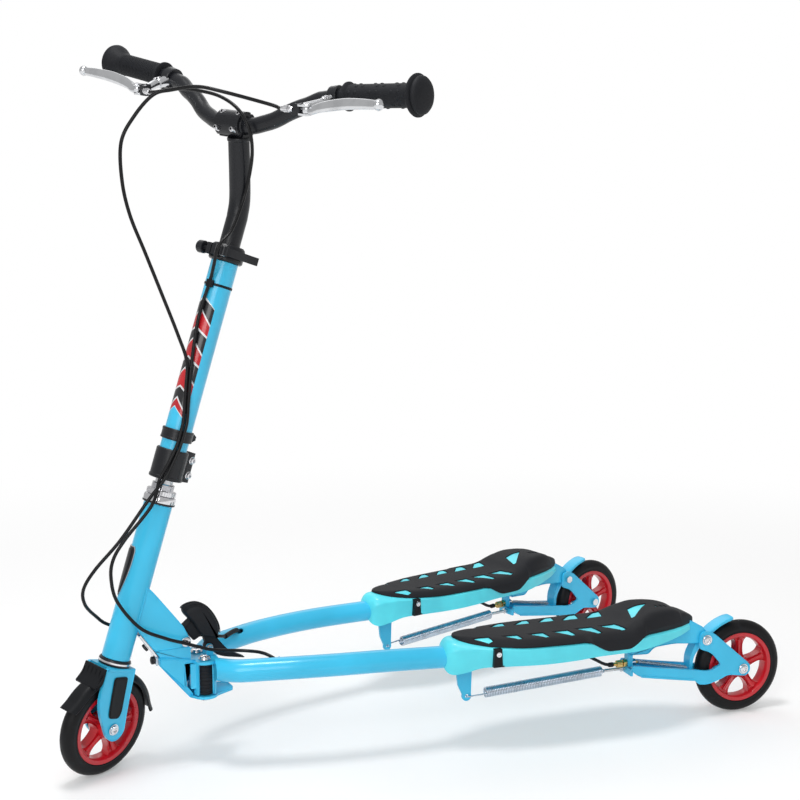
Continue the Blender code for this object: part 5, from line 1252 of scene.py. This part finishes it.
shellStations = np.array([  # y, half width, skirt height, top height at the edge, top height in the middle
    (0.3330, 0.0090, 0.1270, 0.1430, 0.1500), (0.3365, 0.0180, 0.1190, 0.1480, 0.1590),
    (0.3450, 0.0245, 0.1165, 0.1530, 0.1645), (0.3620, 0.0300, 0.1200, 0.1555, 0.1640),
    (0.3850, 0.0380, 0.1270, 0.1550, 0.1625), (0.4200, 0.0495, 0.1290, 0.1545, 0.1620),
    (0.4700, 0.0575, 0.1290, 0.1535, 0.1610), (0.5200, 0.0585, 0.1298, 0.1530, 0.1610),
    (0.5600, 0.0590, 0.1325, 0.1530, 0.1610), (0.6200, 0.0580, 0.1335, 0.1530, 0.1610),
    (0.6600, 0.0510, 0.1372, 0.1530, 0.1610), (0.7000, 0.0370, 0.1420, 0.1525, 0.1600),
    (0.7260, 0.0225, 0.1455, 0.1515, 0.1560),
])
padStations = np.array([  # y, half width, height of the edge, height in the middle
    (0.3500, 0.0040, 0.1658, 0.1682), (0.3540, 0.0120, 0.1650, 0.1690), (0.3620, 0.0195, 0.1632, 0.1690),
    (0.3750, 0.0275, 0.1605, 0.1685), (0.4100, 0.0440, 0.1580, 0.1670), (0.4600, 0.0555, 0.1570, 0.1660),
    (0.5500, 0.0575, 0.1570, 0.1660), (0.6000, 0.0570, 0.1570, 0.1668), (0.6250, 0.0555, 0.1585, 0.1750),
    (0.6480, 0.0520, 0.1620, 0.1828), (0.6700, 0.0460, 0.1635, 0.1840), (0.6900, 0.0390, 0.1625, 0.1822),
    (0.7040, 0.0325, 0.1612, 0.1780), (0.7090, 0.0300, 0.1600, 0.1735), (0.7200, 0.0225, 0.1590, 0.1708),
    (0.7330, 0.0130, 0.1570, 0.1650), (0.7402, 0.0050, 0.1550, 0.1596),
])
deckLook = {
    "crownPower": 2.8,
    "padPower": 9.0,
    "wall": 0.0032,
    "slotSunk": 0.0017,
}


def along(stations, y):
    # every column of the stations, read from a smooth curve at the distances y
    fine = spline(stations, 12)
    return [np.interp(y, fine[:, 0], fine[:, k]) for k in range(1, stations.shape[1])]


def crowned(share, edge, crown, power=deckLook["crownPower"]):
    return edge + (crown - edge) * (1 - np.abs(share) ** power)


def shellTop(y, x):
    half, skirt, edge, crown = along(shellStations, y)
    return crowned(np.clip(x / np.maximum(half, 0.001), -1, 1), edge, crown)


def padTop(y, x):
    half, edge, crown = along(padStations, y)
    return crowned(np.clip(x / np.maximum(half, 0.001), -1, 1), edge, crown, deckLook["padPower"])


def deckShell(word):
    y = np.concatenate([np.linspace(0.3330, 0.3700, 22), np.linspace(0.3750, 0.7260, 70)])[:, None]
    half, skirt, edge, crown = along(shellStations, y)
    share = np.sin(np.linspace(-np.pi / 2, np.pi / 2, 37))[None, :]
    wall = deckLook["wall"]
    drop = np.array([1.0, 0.5, 0.12])[None, :]
    sideUp = np.concatenate([-half * np.ones((1, 3)), share * half, half * np.ones((1, 3))], axis=1)
    topUp = np.concatenate([edge - (edge - skirt) * drop, crowned(share, edge, crown) - 0.0012 * np.abs(share) ** 12,
                            (edge - (edge - skirt) * drop)[:, ::-1]], axis=1)
    narrow = np.maximum(half - wall, 0.2 * half)
    sideDown = np.concatenate([narrow * np.ones((1, 3)), (share * narrow)[:, ::-1], -narrow * np.ones((1, 3))], axis=1)
    topDown = np.concatenate([edge - wall - (edge - wall - skirt) * drop,
                              (crowned(share, edge, crown) - wall)[:, ::-1],
                              (edge - wall - (edge - wall - skirt) * drop)[:, ::-1]], axis=1)
    x = np.concatenate([sideUp, sideDown], axis=1) + line
    z = np.concatenate([topUp, topDown], axis=1)
    shapes = [skin(np.stack([x, np.broadcast_to(y, x.shape), z], axis=-1))]
    # raised ribs of the shell that show through the slots of the pad
    for corners, sides in slotCorners(word):
        shapes += [slotRib(corners, side) for side in sides]
    put(word + "DeckShell", shapes, armPlaces[word], word + "_arm", "shell", [word + "_deck_shell"], 40)


# each slot: inner end, outer end, its middle's distance there, and its half width there
pairedSlots = [
    (0.0228, 0.0345, 0.3860, 0.3965, 0.0110, 0.0030), (0.0230, 0.0392, 0.4300, 0.4410, 0.0115, 0.0030),
    (0.0240, 0.0424, 0.4700, 0.4815, 0.0120, 0.0032), (0.0240, 0.0455, 0.5090, 0.5215, 0.0125, 0.0034),
    (0.0220, 0.0484, 0.5475, 0.5625, 0.0130, 0.0036), (0.0210, 0.0475, 0.5860, 0.6020, 0.0130, 0.0036),
]
heelSlots = [  # towards the rider's left on both decks, which are one moulding
    (-0.0060, 0.0260, 0.6500, 0.6275, 0.0150, 0.0020), (0.0050, 0.0130, 0.6745, 0.6755, 0.0013, 0.0013),
    (0.0050, 0.0130, 0.6815, 0.6825, 0.0013, 0.0013), (0.0050, 0.0130, 0.6885, 0.6895, 0.0013, 0.0013),
]


def slotCorners(word):
    # the four corners of every slot, inner end first, and the sides of the deck that have it
    hand = 1 if word == "left" else -1
    for group, sides in ((pairedSlots, (1, -1)), (heelSlots, (hand,))):
        for x0, x1, y0, y1, half0, half1 in group:
            yield np.array([(x0, y0 - half0), (x0, y0 + half0), (x1, y1 + half1), (x1, y1 - half1)]), sides


def insideOf(corners, x, y):
    # how far each point lies inside a convex outline, negative when outside
    depth = np.full(np.broadcast(x, y).shape, np.inf)
    for a, b in zip(corners, np.roll(corners, -1, axis=0)):
        across = np.array([b[1] - a[1], a[0] - b[0]]) / np.hypot(*(b - a))
        depth = np.minimum(depth, (x - a[0]) * across[0] + (y - a[1]) * across[1])
    return depth


def slotRib(corners, side):
    s = np.linspace(-0.05, 1.05, 19)[:, None, None]
    t = np.linspace(-0.05, 1.05, 11)[None, :, None]
    spots = (corners[0] * (1 - t) + corners[1] * t) * (1 - s) + (corners[3] * (1 - t) + corners[2] * t) * s
    x, y = spots[..., 0], spots[..., 1]
    top = padTop(y, x) - deckLook["slotSunk"]
    low = top - 0.0060
    x, y = np.concatenate([x, x[:, ::-1]], axis=1), np.concatenate([y, y[:, ::-1]], axis=1)
    z = np.concatenate([top, low[:, ::-1]], axis=1)
    return skin(np.stack([line + side * x, y, z], axis=-1))


def deckPad(word):
    y = np.linspace(0.3500, 0.7402, 440)[:, None]
    share = np.sin(np.linspace(-np.pi / 2, np.pi / 2, 151) * 0.999)[None, :]
    half, edge, crown = along(padStations, y)
    # a flap hangs over each side of the shell
    flap = np.clip((y - 0.5330) / 0.0430, 0, 1) * np.clip((0.6440 - y) / 0.0400, 0, 1)
    flap = flap * flap * (3 - 2 * flap)
    half = half + 0.0032 * np.clip(flap * 5, 0, 1)
    x = share * half
    top = crowned(share, edge, crown, deckLook["padPower"]) - 0.0009 * np.abs(share) ** 10
    sink = np.zeros_like(top)
    for corners, sides in slotCorners(word):
        for side in sides:
            sink = np.maximum(sink, np.clip(0.5 + insideOf(corners, side * x, y) / 0.0014, 0, 1))
    floor = shellTop(y, x) - 0.0010
    low = np.minimum(top - 0.0012, floor)
    top = top - (top - np.maximum(floor + 0.0004, top - 0.0062)) * sink
    foot, tuck = edge - 0.0008 - 0.0170 * flap, half - 0.0034 * np.clip(flap * 5, 0, 1)
    xs = np.concatenate([-tuck, -half, x, half, tuck, x[:, ::-3] * 0.94], axis=1) + line
    z = np.concatenate([foot, foot, top, foot, foot, low[:, ::-3]], axis=1)
    shapes = [skin(np.stack([xs, np.broadcast_to(y, xs.shape), z], axis=-1))]
    put(word + "DeckPad", shapes, armPlaces[word], word + "_arm", "rubber", [word + "_deck_pad"], 50)


def deckTrim(word):
    # the straps round the shell's sides, with their screws
    strap = rounded([(0.3960, 0.1290), (0.4195, 0.1290), (0.4195, 0.1300), (0.4100, 0.1310), (0.4090, 0.1560),
                     (0.3975, 0.1560)], 0.0006, 2)
    straps = [slab(strap, 0.0415, 0.0480, 0.0006, middle=line), slab(strap, -0.0480, -0.0415, 0.0006, middle=line)]
    put(word + "SideStraps", straps, armPlaces[word], word + "_arm", "plastic")
    screws = [bolt((line + side * 0.0478, 0.4040, 0.1480), (side, 0, 0), 0.0040, 0.0016) for side in (1, -1)]
    put(word + "StrapScrews", screws, armPlaces[word], word + "_arm", "chrome")


def swingArm(word):
    look = armLook
    side = rounded([(0.7470, 0.1365), (0.7590, 0.1395), (0.7705, 0.1338), (0.8342, 0.0788), (0.8347, 0.0678),
                    (0.8267, 0.0608), (0.7960, 0.0660), (0.7797, 0.0590), (0.7600, 0.0540), (0.7445, 0.0560),
                    (0.7385, 0.0630), (0.6824, 0.0722), (0.6425, 0.0795), (0.6293, 0.0900), (0.6330, 0.0975),
                    (0.6819, 0.0886), (0.7403, 0.0793), (0.7590, 0.0756), (0.7700, 0.0770), (0.7830, 0.0840),
                    (0.7659, 0.1040), (0.7450, 0.1120)],
                   [0.005, 0.006, 0.006, 0.007, 0.005, 0.004, 0.006, 0.008, 0.008, 0.004, 0.003, 0.020, 0.006, 0.004,
                    0.002, 0.010, 0.010, 0.006, 0.004, 0.004, 0.010, 0.005], 5)
    inside, outside = look["plateInside"], look["plateOutside"]
    shapes = [slab(side, inside, outside, 0.0010, middle=line), slab(side, -outside, -inside, 0.0010, middle=line)]
    floor = [(0.6310, 0.0890), (0.6435, 0.0800), (0.6824, 0.0728), (0.7300, 0.0650), (0.7300, 0.0680), (0.6830, 0.0756),
             (0.6450, 0.0826), (0.6345, 0.0890)]
    shapes.append(slab(floor, -0.0178, 0.0178, 0.0004, middle=line))
    shapes.append(moved(box((-0.0178, 0.6301, 0.0805), (0.0178, 0.6341, 0.0905), 0.0005), shift(line, 0, 0)))
    for s in (1, -1):  # folded lips that stiffen the cheeks
        lip = tube(spline([(line + s * 0.0187, 0.6480, 0.0789), (line + s * 0.0187, 0.6824, 0.0729),
                           (line + s * 0.0187, 0.7380, 0.0637)], 8), 0.0021, 12)
        shapes.append(lip)
    put(word + "SwingArm", shapes, armPlaces[word], word + "_swing_arm", "blue", [word + "_swing_arm"])
    x = look["springX"]
    eyeBolt = [rod((x, 0.5924, 0.0864), (x, 0.6460, 0.0866), 0.0022), nut((x, 0.6232, 0.0866), (0, 1, 0), 0.0050, 0.0040),
               nut((x, 0.6346, 0.0866), (0, 1, 0), 0.0046, 0.0036)]
    for k in range(22):
        eyeBolt.append(rod((x, 0.5980 + k * 0.0011, 0.0865), (x, 0.5985 + k * 0.0011, 0.0865), 0.0025, 24, 0.0002))
    put(word + "EyeBolt", eyeBolt, armPlaces[word], word + "_swing_arm", "steel", [word + "_eye_bolt"])
    throughBolt(word + "Axle", (line, look["axleY"], wheel["radius"]), outside, armPlaces[word], word + "_swing_arm",
                word + "_axle")
    wheelSet(word, armPlaces[word] @ shift(line, look["axleY"], wheel["radius"]), word + "_wheel")


def springs(word):
    look = armLook
    x = look["springX"]
    start, end = np.array([x, 0.4014, 0.0745]), np.array([x, 0.5918, 0.0863])
    turns = 74
    shapes = [coil(start + (0, 0.0012, 0), end - (0, 0.0012, 0), look["springRadius"] - 0.0012, 0.00118, turns, 8, 22)]
    hook = spline([(x + 0.0066, 0.4035, 0.0746), (x + 0.0062, 0.3960, 0.0742), (x + 0.0050, 0.3850, 0.0734),
                   (x + 0.0046, 0.3780, 0.0728), (x + 0.0036, 0.3743, 0.0726), (x, 0.3736, 0.0726),
                   (x - 0.0042, 0.3741, 0.0726)], 6)
    shapes.append(tube(hook, 0.0012, 12))
    shapes.append(tube(spline([(x + 0.0066, 0.5900, 0.0862), (x + 0.0050, 0.5935, 0.0864), (x, 0.5950, 0.0866),
                               (x - 0.0030, 0.5935, 0.0866)], 6), 0.0012, 12))
    piece = put(word + "Spring", shapes, armPlaces[word], None, "zinc", [word + "_spring"], 60)
    stretched(word, piece, start, end + (0, 0.038, 0.0024))  # a point past its end
    a, b = np.array([look["adjusterX"], 0.6495, 0.0968]), np.array([look["adjusterX"], 0.7308, 0.0797])
    fine = [coil(a, b, 0.0024, 0.00058, 40, 6, 14), tube([a - (b - a) * 0.02, a + (b - a) * 0.9], 0.0007, 10)]
    piece = put(word + "ReturnSpring", fine, armPlaces[word], None, "steel", [word + "_return_spring"], 60)
    stretched(word, piece, a, b)
    hook = spline([b - (b - a) * 0.01, (look["adjusterX"], 0.7330, 0.0792), (look["adjusterX"], 0.7352, 0.0786)], 4)
    piece = put(word + "ReturnHook", [tube(hook, 0.0011, 12)], armPlaces[word], None, "steel")
    start, end = at(armPlaces[word], [hook[0], hook[-1]])
    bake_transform(piece)


def stretched(word, piece, start, end):
    # the spring's piece is laid into the floor's axes and rides on no body; its start and end are worked out and not
    # used
    start, end = at(armPlaces[word], [start, end])
    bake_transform(piece)


def brakeGear(word):
    look = armLook
    hubAt = (look["axleY"], wheel["radius"])
    shapes = []
    # the fin over the tyre: a band bent round the wheel, cupped a little across
    turn = np.radians(np.linspace(100, 140, 40))[:, None]
    share = np.linspace(-1, 1, 17)[None, :]
    outer = 0.0825 - 0.0008 * share**4 + 0 * turn
    inner = 0.0790 - 0.0008 * share**4 + 0 * turn
    width = 0.0118 * (1 - 0.18 * np.clip((np.radians(106) - turn) / np.radians(6), 0, 1) ** 2)
    rings = [np.stack([line + s * width, hubAt[0] + r * np.cos(turn), hubAt[1] + r * np.sin(turn)], axis=-1)
             for s, r in ((share, outer), (share[:, ::-1], inner[:, ::-1]))]
    shapes.append(skin(np.concatenate(rings, axis=1)))
    bolt_ = np.array([line, look["boltY"], look["boltZ"]])
    shapes.append(rod(bolt_ - (0.0118, 0, 0), bolt_ + (0.0118, 0, 0), 0.0084, 48, 0.0008))
    root = np.vstack([arc((look["boltY"], look["boltZ"]), 0.0084, 200, 100, 10), [(0.7640, 0.1345), (0.7680, 0.1310)]])
    shapes.append(slab(root, -0.0118, 0.0118, 0.0006, middle=line))
    tail = rounded([(0.7500, 0.1280), (0.7560, 0.1170), (0.7410, 0.0950), (0.7395, 0.0745), (0.7345, 0.0745),
                    (0.7350, 0.0980)], [0.002, 0.002, 0.008, 0.002, 0.002, 0.008], 5)
    shapes.append(slab(tail, -0.0090, 0.0090, 0.0007, middle=line))
    put(word + "BrakeArm", shapes, armPlaces[word], word + "_brake_arm", "blue", [word + "_brake_arm"])


def cableAdjuster(word):
    x, z = armLook["adjusterX"], armLook["adjusterZ"]
    spot = np.array([x, 0.0, z])
    y = np.array([0.0, 1.0, 0.0])
    threads = [(0.0006, 0.6060), (0.0026, 0.6060)]
    for k in range(30):
        threads += [(0.0025, 0.6066 + 0.0013 * k), (0.0030, 0.60725 + 0.0013 * k)]
    threads += [(0.0026, 0.6470), (0.0018, 0.6480), (0.0006, 0.6480)]
    knurls = 1 + 0.05 * np.cos(16 * turnFine)
    shapes = [turned(threads, spot, y, 24),
              around(spot + y * 0.6120, y, [(0, 0.0040), (0.0008, 0.0052 * knurls), (0.0092, 0.0052 * knurls),
                                            (0.0100, 0.0042)]),
              nut(spot + y * 0.6230, y, 0.0062, 0.0056)]
    put(word + "AdjusterNut", [nut(spot + y * 0.6374, y, 0.0060, 0.0056)], armPlaces[word], word + "_arm", "chrome")
    put(word + "CableAdjuster", shapes, armPlaces[word], word + "_arm", "brass", [word + "_cable_adjuster"], 40)
    boot = around(spot + y * 0.5990, y, [(0, 0.0027), (0.0010, 0.0034), (0.0030, 0.0036), (0.0070, 0.0036),
                                         (0.0080, 0.0032)])
    put(word + "AdjusterBoot", [boot], armPlaces[word], word + "_arm", "rubber")


for word in ("left", "right"):
    armTube(word)
    tailFrame(word)
    deckShell(word)
    deckPad(word)
    deckTrim(word)
    swingArm(word)
    springs(word)
    brakeGear(word)
    cableAdjuster(word)
    print(word, "arm made")


# Brake cables: each is one route, cut into stretches where it is clipped; a stretch on one body rides on it, and a
# stretch between two bodies is laid into the floor's axes and rides on none

cableLook = {"radius": 0.0024, "armRadius": 0.0036}
upperRoute = {  # in the steering frame
    "left": [
        (0.1128, -0.0962, 0.9400), (0.1000, -0.1020, 0.9420), (0.0600, -0.1480, 0.9390),
        (0.0300, -0.1650, 0.9370), (0.0, -0.1770, 0.9260), (-0.0200, -0.1870, 0.9140),
        (-0.0300, -0.1990, 0.8810), (-0.0350, -0.2040, 0.8440), (-0.0350, -0.1860, 0.7990),
        (-0.0300, -0.1620, 0.7600), (-0.0220, -0.1270, 0.7200), (-0.0120, -0.0920, 0.6780),
        (0.0, -0.0500, 0.6270), (0.0058, -0.0260, 0.5950), (0.0118, -0.0203, 0.5600),
        (0.0178, -0.0153, 0.5200), (0.0196, -0.0152, 0.5060), (0.0196, -0.0158, 0.4810),
        (0.0172, -0.0196, 0.4550), (0.0135, -0.0240, 0.4300),
    ],
    "right": [
        (-0.1288, -0.0961, 0.9400), (-0.1150, -0.0985, 0.9410), (-0.0883, -0.0925, 0.9494),
        (-0.0535, -0.0860, 0.9530), (-0.0173, -0.0758, 0.9512), (0.0153, -0.0687, 0.9384),
        (0.0350, -0.0597, 0.9164), (0.0325, -0.0407, 0.8931), (0.0233, -0.0239, 0.8663),
        (0.0163, -0.0148, 0.8299), (0.0223, -0.0270, 0.7842), (0.0222, -0.0432, 0.7560),
        (0.0141, -0.0337, 0.7300), (0.0045, -0.0230, 0.7100), (0.0018, -0.0228, 0.6600),
        (0.0095, -0.0212, 0.6000), (0.0172, -0.0158, 0.5500), (0.0208, -0.0110, 0.5200),
        (0.0226, -0.0110, 0.5060), (0.0226, -0.0118, 0.4810), (0.0212, -0.0156, 0.4550),
        (0.0186, -0.0196, 0.4340),
    ],
}
lowerRoute = {  # in the bracket's frame
    "left": [
        (0.0380, -0.4080, 0.3840), (0.0400, -0.4470, 0.3410), (0.0400, -0.4640, 0.3150),
        (0.0380, -0.4670, 0.2880), (0.0340, -0.4580, 0.2540), (0.0300, -0.4270, 0.2130),
        (0.0290, -0.3920, 0.1930), (0.0300, -0.3640, 0.1820), (0.0300, -0.3470, 0.1750),
        (0.0300, -0.3210, 0.1660),
    ],
    "right": [
        (0.0260, -0.4090, 0.3890), (0.0240, -0.4490, 0.3370), (0.0200, -0.4840, 0.2990),
        (0.0100, -0.4980, 0.2710), (0.0, -0.4940, 0.2470), (-0.0200, -0.4750, 0.2230),
        (-0.0300, -0.4560, 0.2060), (-0.0310, -0.4200, 0.1930), (-0.0270, -0.3850, 0.1850),
        (-0.0240, -0.3500, 0.1780), (-0.0210, -0.3200, 0.1730), (-0.0230, -0.3000, 0.1680),
    ],
}
armRoute = [
    (0.0120, 0.0560, 0.1610), (0.0300, 0.0800, 0.1600), (0.0475, 0.1050, 0.1480), (0.0560, 0.1400, 0.1430),
    (0.0600, 0.2100, 0.1424), (0.0600, 0.3000, 0.1390), (line, 0.4000, 0.1340), (line, 0.5000, 0.1330),
    (armLook["adjusterX"] - 0.0015, 0.5400, 0.1275), (armLook["adjusterX"], 0.5747, 0.1095),
    (armLook["adjusterX"], 0.5930, 0.0995), (armLook["adjusterX"], 0.6052, armLook["adjusterZ"]),
]
stretches = {  # the route's point where each stretch starts, and the body or bodies that it goes with
    "left": [(0, 13, ("handlebar", "steering")), (13, 18, ("steering",)), (18, 24, ("steering", "front_frame")),
             (24, 28, ("front_frame", "pivot_bracket")), (28, 31, ("pivot_bracket", "left_arm")),
             (31, 34, ("left_arm",)), (36, 41, ("left_arm",))],
    "right": [(0, 14, ("handlebar", "steering")), (14, 20, ("steering",)), (20, 27, ("steering", "front_frame")),
              (27, 31, ("front_frame", "pivot_bracket")), (31, 35, ("pivot_bracket", "right_arm")),
              (35, 38, ("right_arm",)), (40, 45, ("right_arm",))],
}


def brakeCables(word):
    route = np.vstack([at(steerPlace, upperRoute[word]), at(bracketPlace, lowerRoute[word]),
                       at(armPlaces[word], armRoute)])
    steps = 10
    fine = spline(route, steps)
    for index, (first, last, bodies) in enumerate(stretches[word]):
        path = fine[first * steps:last * steps + 1]
        name = "{}Cable{}".format(word, index + 1)
        piece = put(name, [tube(path, cableLook["radius"], 16)], np.eye(4), bodies[0] if len(bodies) == 1 else None,
                    "sleeve", [word + "_brake_cable"] if index == 0 else ())
        if len(bodies) == 2:
            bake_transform(piece)


for word in ("left", "right"):
    brakeCables(word)
sleeve = tube(at(armPlaces["right"], spline([(0.0085, 0.0515, 0.1613), (0.0160, 0.0614, 0.1611), (0.0260, 0.0748, 0.1604),
                                             (0.0330, 0.0840, 0.1588)], 8)), cableLook["armRadius"], 24)
put("rightCableBoot", [sleeve], np.eye(4), "right_arm", "rubber")
print("cables laid")

# Floor, lamps, world and camera

studio = {
    "floorHalf": 9.0,
    "floorTone": 0.80,
    "floorGlow": 0.20,
    "fadeStart": 0.75,
    "fadeEnd": 2.2,
    "skyTone": 0.52,
    "lamps": [  # place, size, power, and the point that it looks at
        ((0.3, -0.5, 3.4), 0.9, 44.0, (0.0, 0.0, 0.0)),
        ((2.8, -2.2, 1.9), 2.4, 46.0, (0.0, 0.0, 0.35)),
        ((-2.6, 0.8, 2.4), 2.4, 14.0, (0.0, 0.0, 0.4)),
    ],
}
view = {
    "place": (1.785796, -0.9249095, 0.777815),
    "bearing": 1.10130022,
    "height": 0.138574692,
    "roll": 0.00310182,
    "lens": 61.3565,
}


def studioFloor():
    half = studio["floorHalf"]
    mesh = bpy.data.meshes.new("studioFloor")
    mesh.from_pydata([(-half, -half, 0), (half, -half, 0), (half, half, 0), (-half, half, 0)], [], [(0, 1, 2, 3)])
    floor = bpy.data.objects.new("studioFloor", mesh)
    bpy.context.collection.objects.link(floor)
    board = Board("studioFloor")
    tone = studio["floorTone"]
    board.finish(Base_Color=(tone, tone, tone, 1), Roughness=0.9)
    ray = board.nodes.new("ShaderNodeLightPath")
    seen = [Wire(board, ray.outputs[name]) for name in ("Is Camera Ray", "Is Glossy Ray", "Is Transmission Ray")]
    seen = seen[0] + seen[1] + seen[2]
    glow = board.add("ShaderNodeEmission", {}, {"Color": (1, 1, 1, 1), "Strength": seen * studio["floorGlow"]})
    lit = board.add("ShaderNodeAddShader", {}, {0: Wire(board, board.shader.outputs[0]), 1: glow})
    # far away the floor is as white as the world, so no horizon shows
    place = board.add("ShaderNodeTexCoord", {}, {}, "Object")
    away = board.add("ShaderNodeVectorMath", {"operation": "LENGTH"}, {0: place}, "Value")
    fade = board.add("ShaderNodeMapRange", {"interpolation_type": "SMOOTHSTEP"},
                     {"Value": away, "From Min": studio["fadeStart"], "From Max": studio["fadeEnd"]})
    white = board.add("ShaderNodeEmission", {}, {"Color": (1, 1, 1, 1), "Strength": 1.0})
    both = board.add("ShaderNodeMixShader", {}, {0: fade * seen, 1: lit, 2: white})
    board.links.new(both.socket, board.nodes["Material Output"].inputs["Surface"])
    mesh.materials.append(board.material)


def studioWorld():
    world = bpy.data.worlds.new("studioWorld")
    world.use_nodes = True
    bpy.context.scene.world = world
    nodes, links = world.node_tree.nodes, world.node_tree.links
    ray, mix = nodes.new("ShaderNodeLightPath"), nodes.new("ShaderNodeMix")
    mix.inputs[2].default_value, mix.inputs[3].default_value = studio["skyTone"], 1.0
    most = nodes.new("ShaderNodeMath")
    most.operation = "MAXIMUM"
    links.new(ray.outputs["Is Camera Ray"], most.inputs[0])
    links.new(ray.outputs["Is Transmission Ray"], most.inputs[1])
    links.new(most.outputs[0], mix.inputs[0])
    links.new(mix.outputs[0], nodes["Background"].inputs["Strength"])
    nodes["Background"].inputs["Color"].default_value = (1, 1, 1, 1)


def lampsAndCamera():
    for index, (place, size, power, target) in enumerate(studio["lamps"]):
        light = bpy.data.lights.new("lamp{}".format(index + 1), "AREA")
        light.shape, light.size, light.energy = "DISK", size, power
        lamp = bpy.data.objects.new(light.name, light)
        lamp.matrix_world = looking(place, unit(np.array(place) - np.array(target)), (0, 0, 1))
        bpy.context.collection.objects.link(lamp)
    az, el, roll = view["bearing"], view["height"], view["roll"]
    right = np.array([np.cos(az), np.sin(az), 0.0])
    back = np.array([np.sin(az) * np.cos(el), -np.cos(az) * np.cos(el), np.sin(el)])
    up = np.cross(back, right)
    data = bpy.data.cameras.new("photoCamera")
    data.lens, data.sensor_width = view["lens"], 36.0
    camera = bpy.data.objects.new("photoCamera", data)
    camera.matrix_world = looking(view["place"], back, up * np.cos(roll) + right * np.sin(roll))
    bpy.context.collection.objects.link(camera)
    bpy.context.scene.camera = camera


def looking(place, back, up):
    # a place whose third axis points backwards, away from what is looked at
    across = unit(np.cross(up, back))
    matrix = np.eye(4)
    matrix[:3, :3] = np.column_stack([across, np.cross(back, across), back])
    matrix[:3, 3] = place
    return Matrix(matrix.tolist())


studioFloor()
studioWorld()
lampsAndCamera()
bpy.context.scene.view_settings.view_transform = "Standard"
print("studio set")
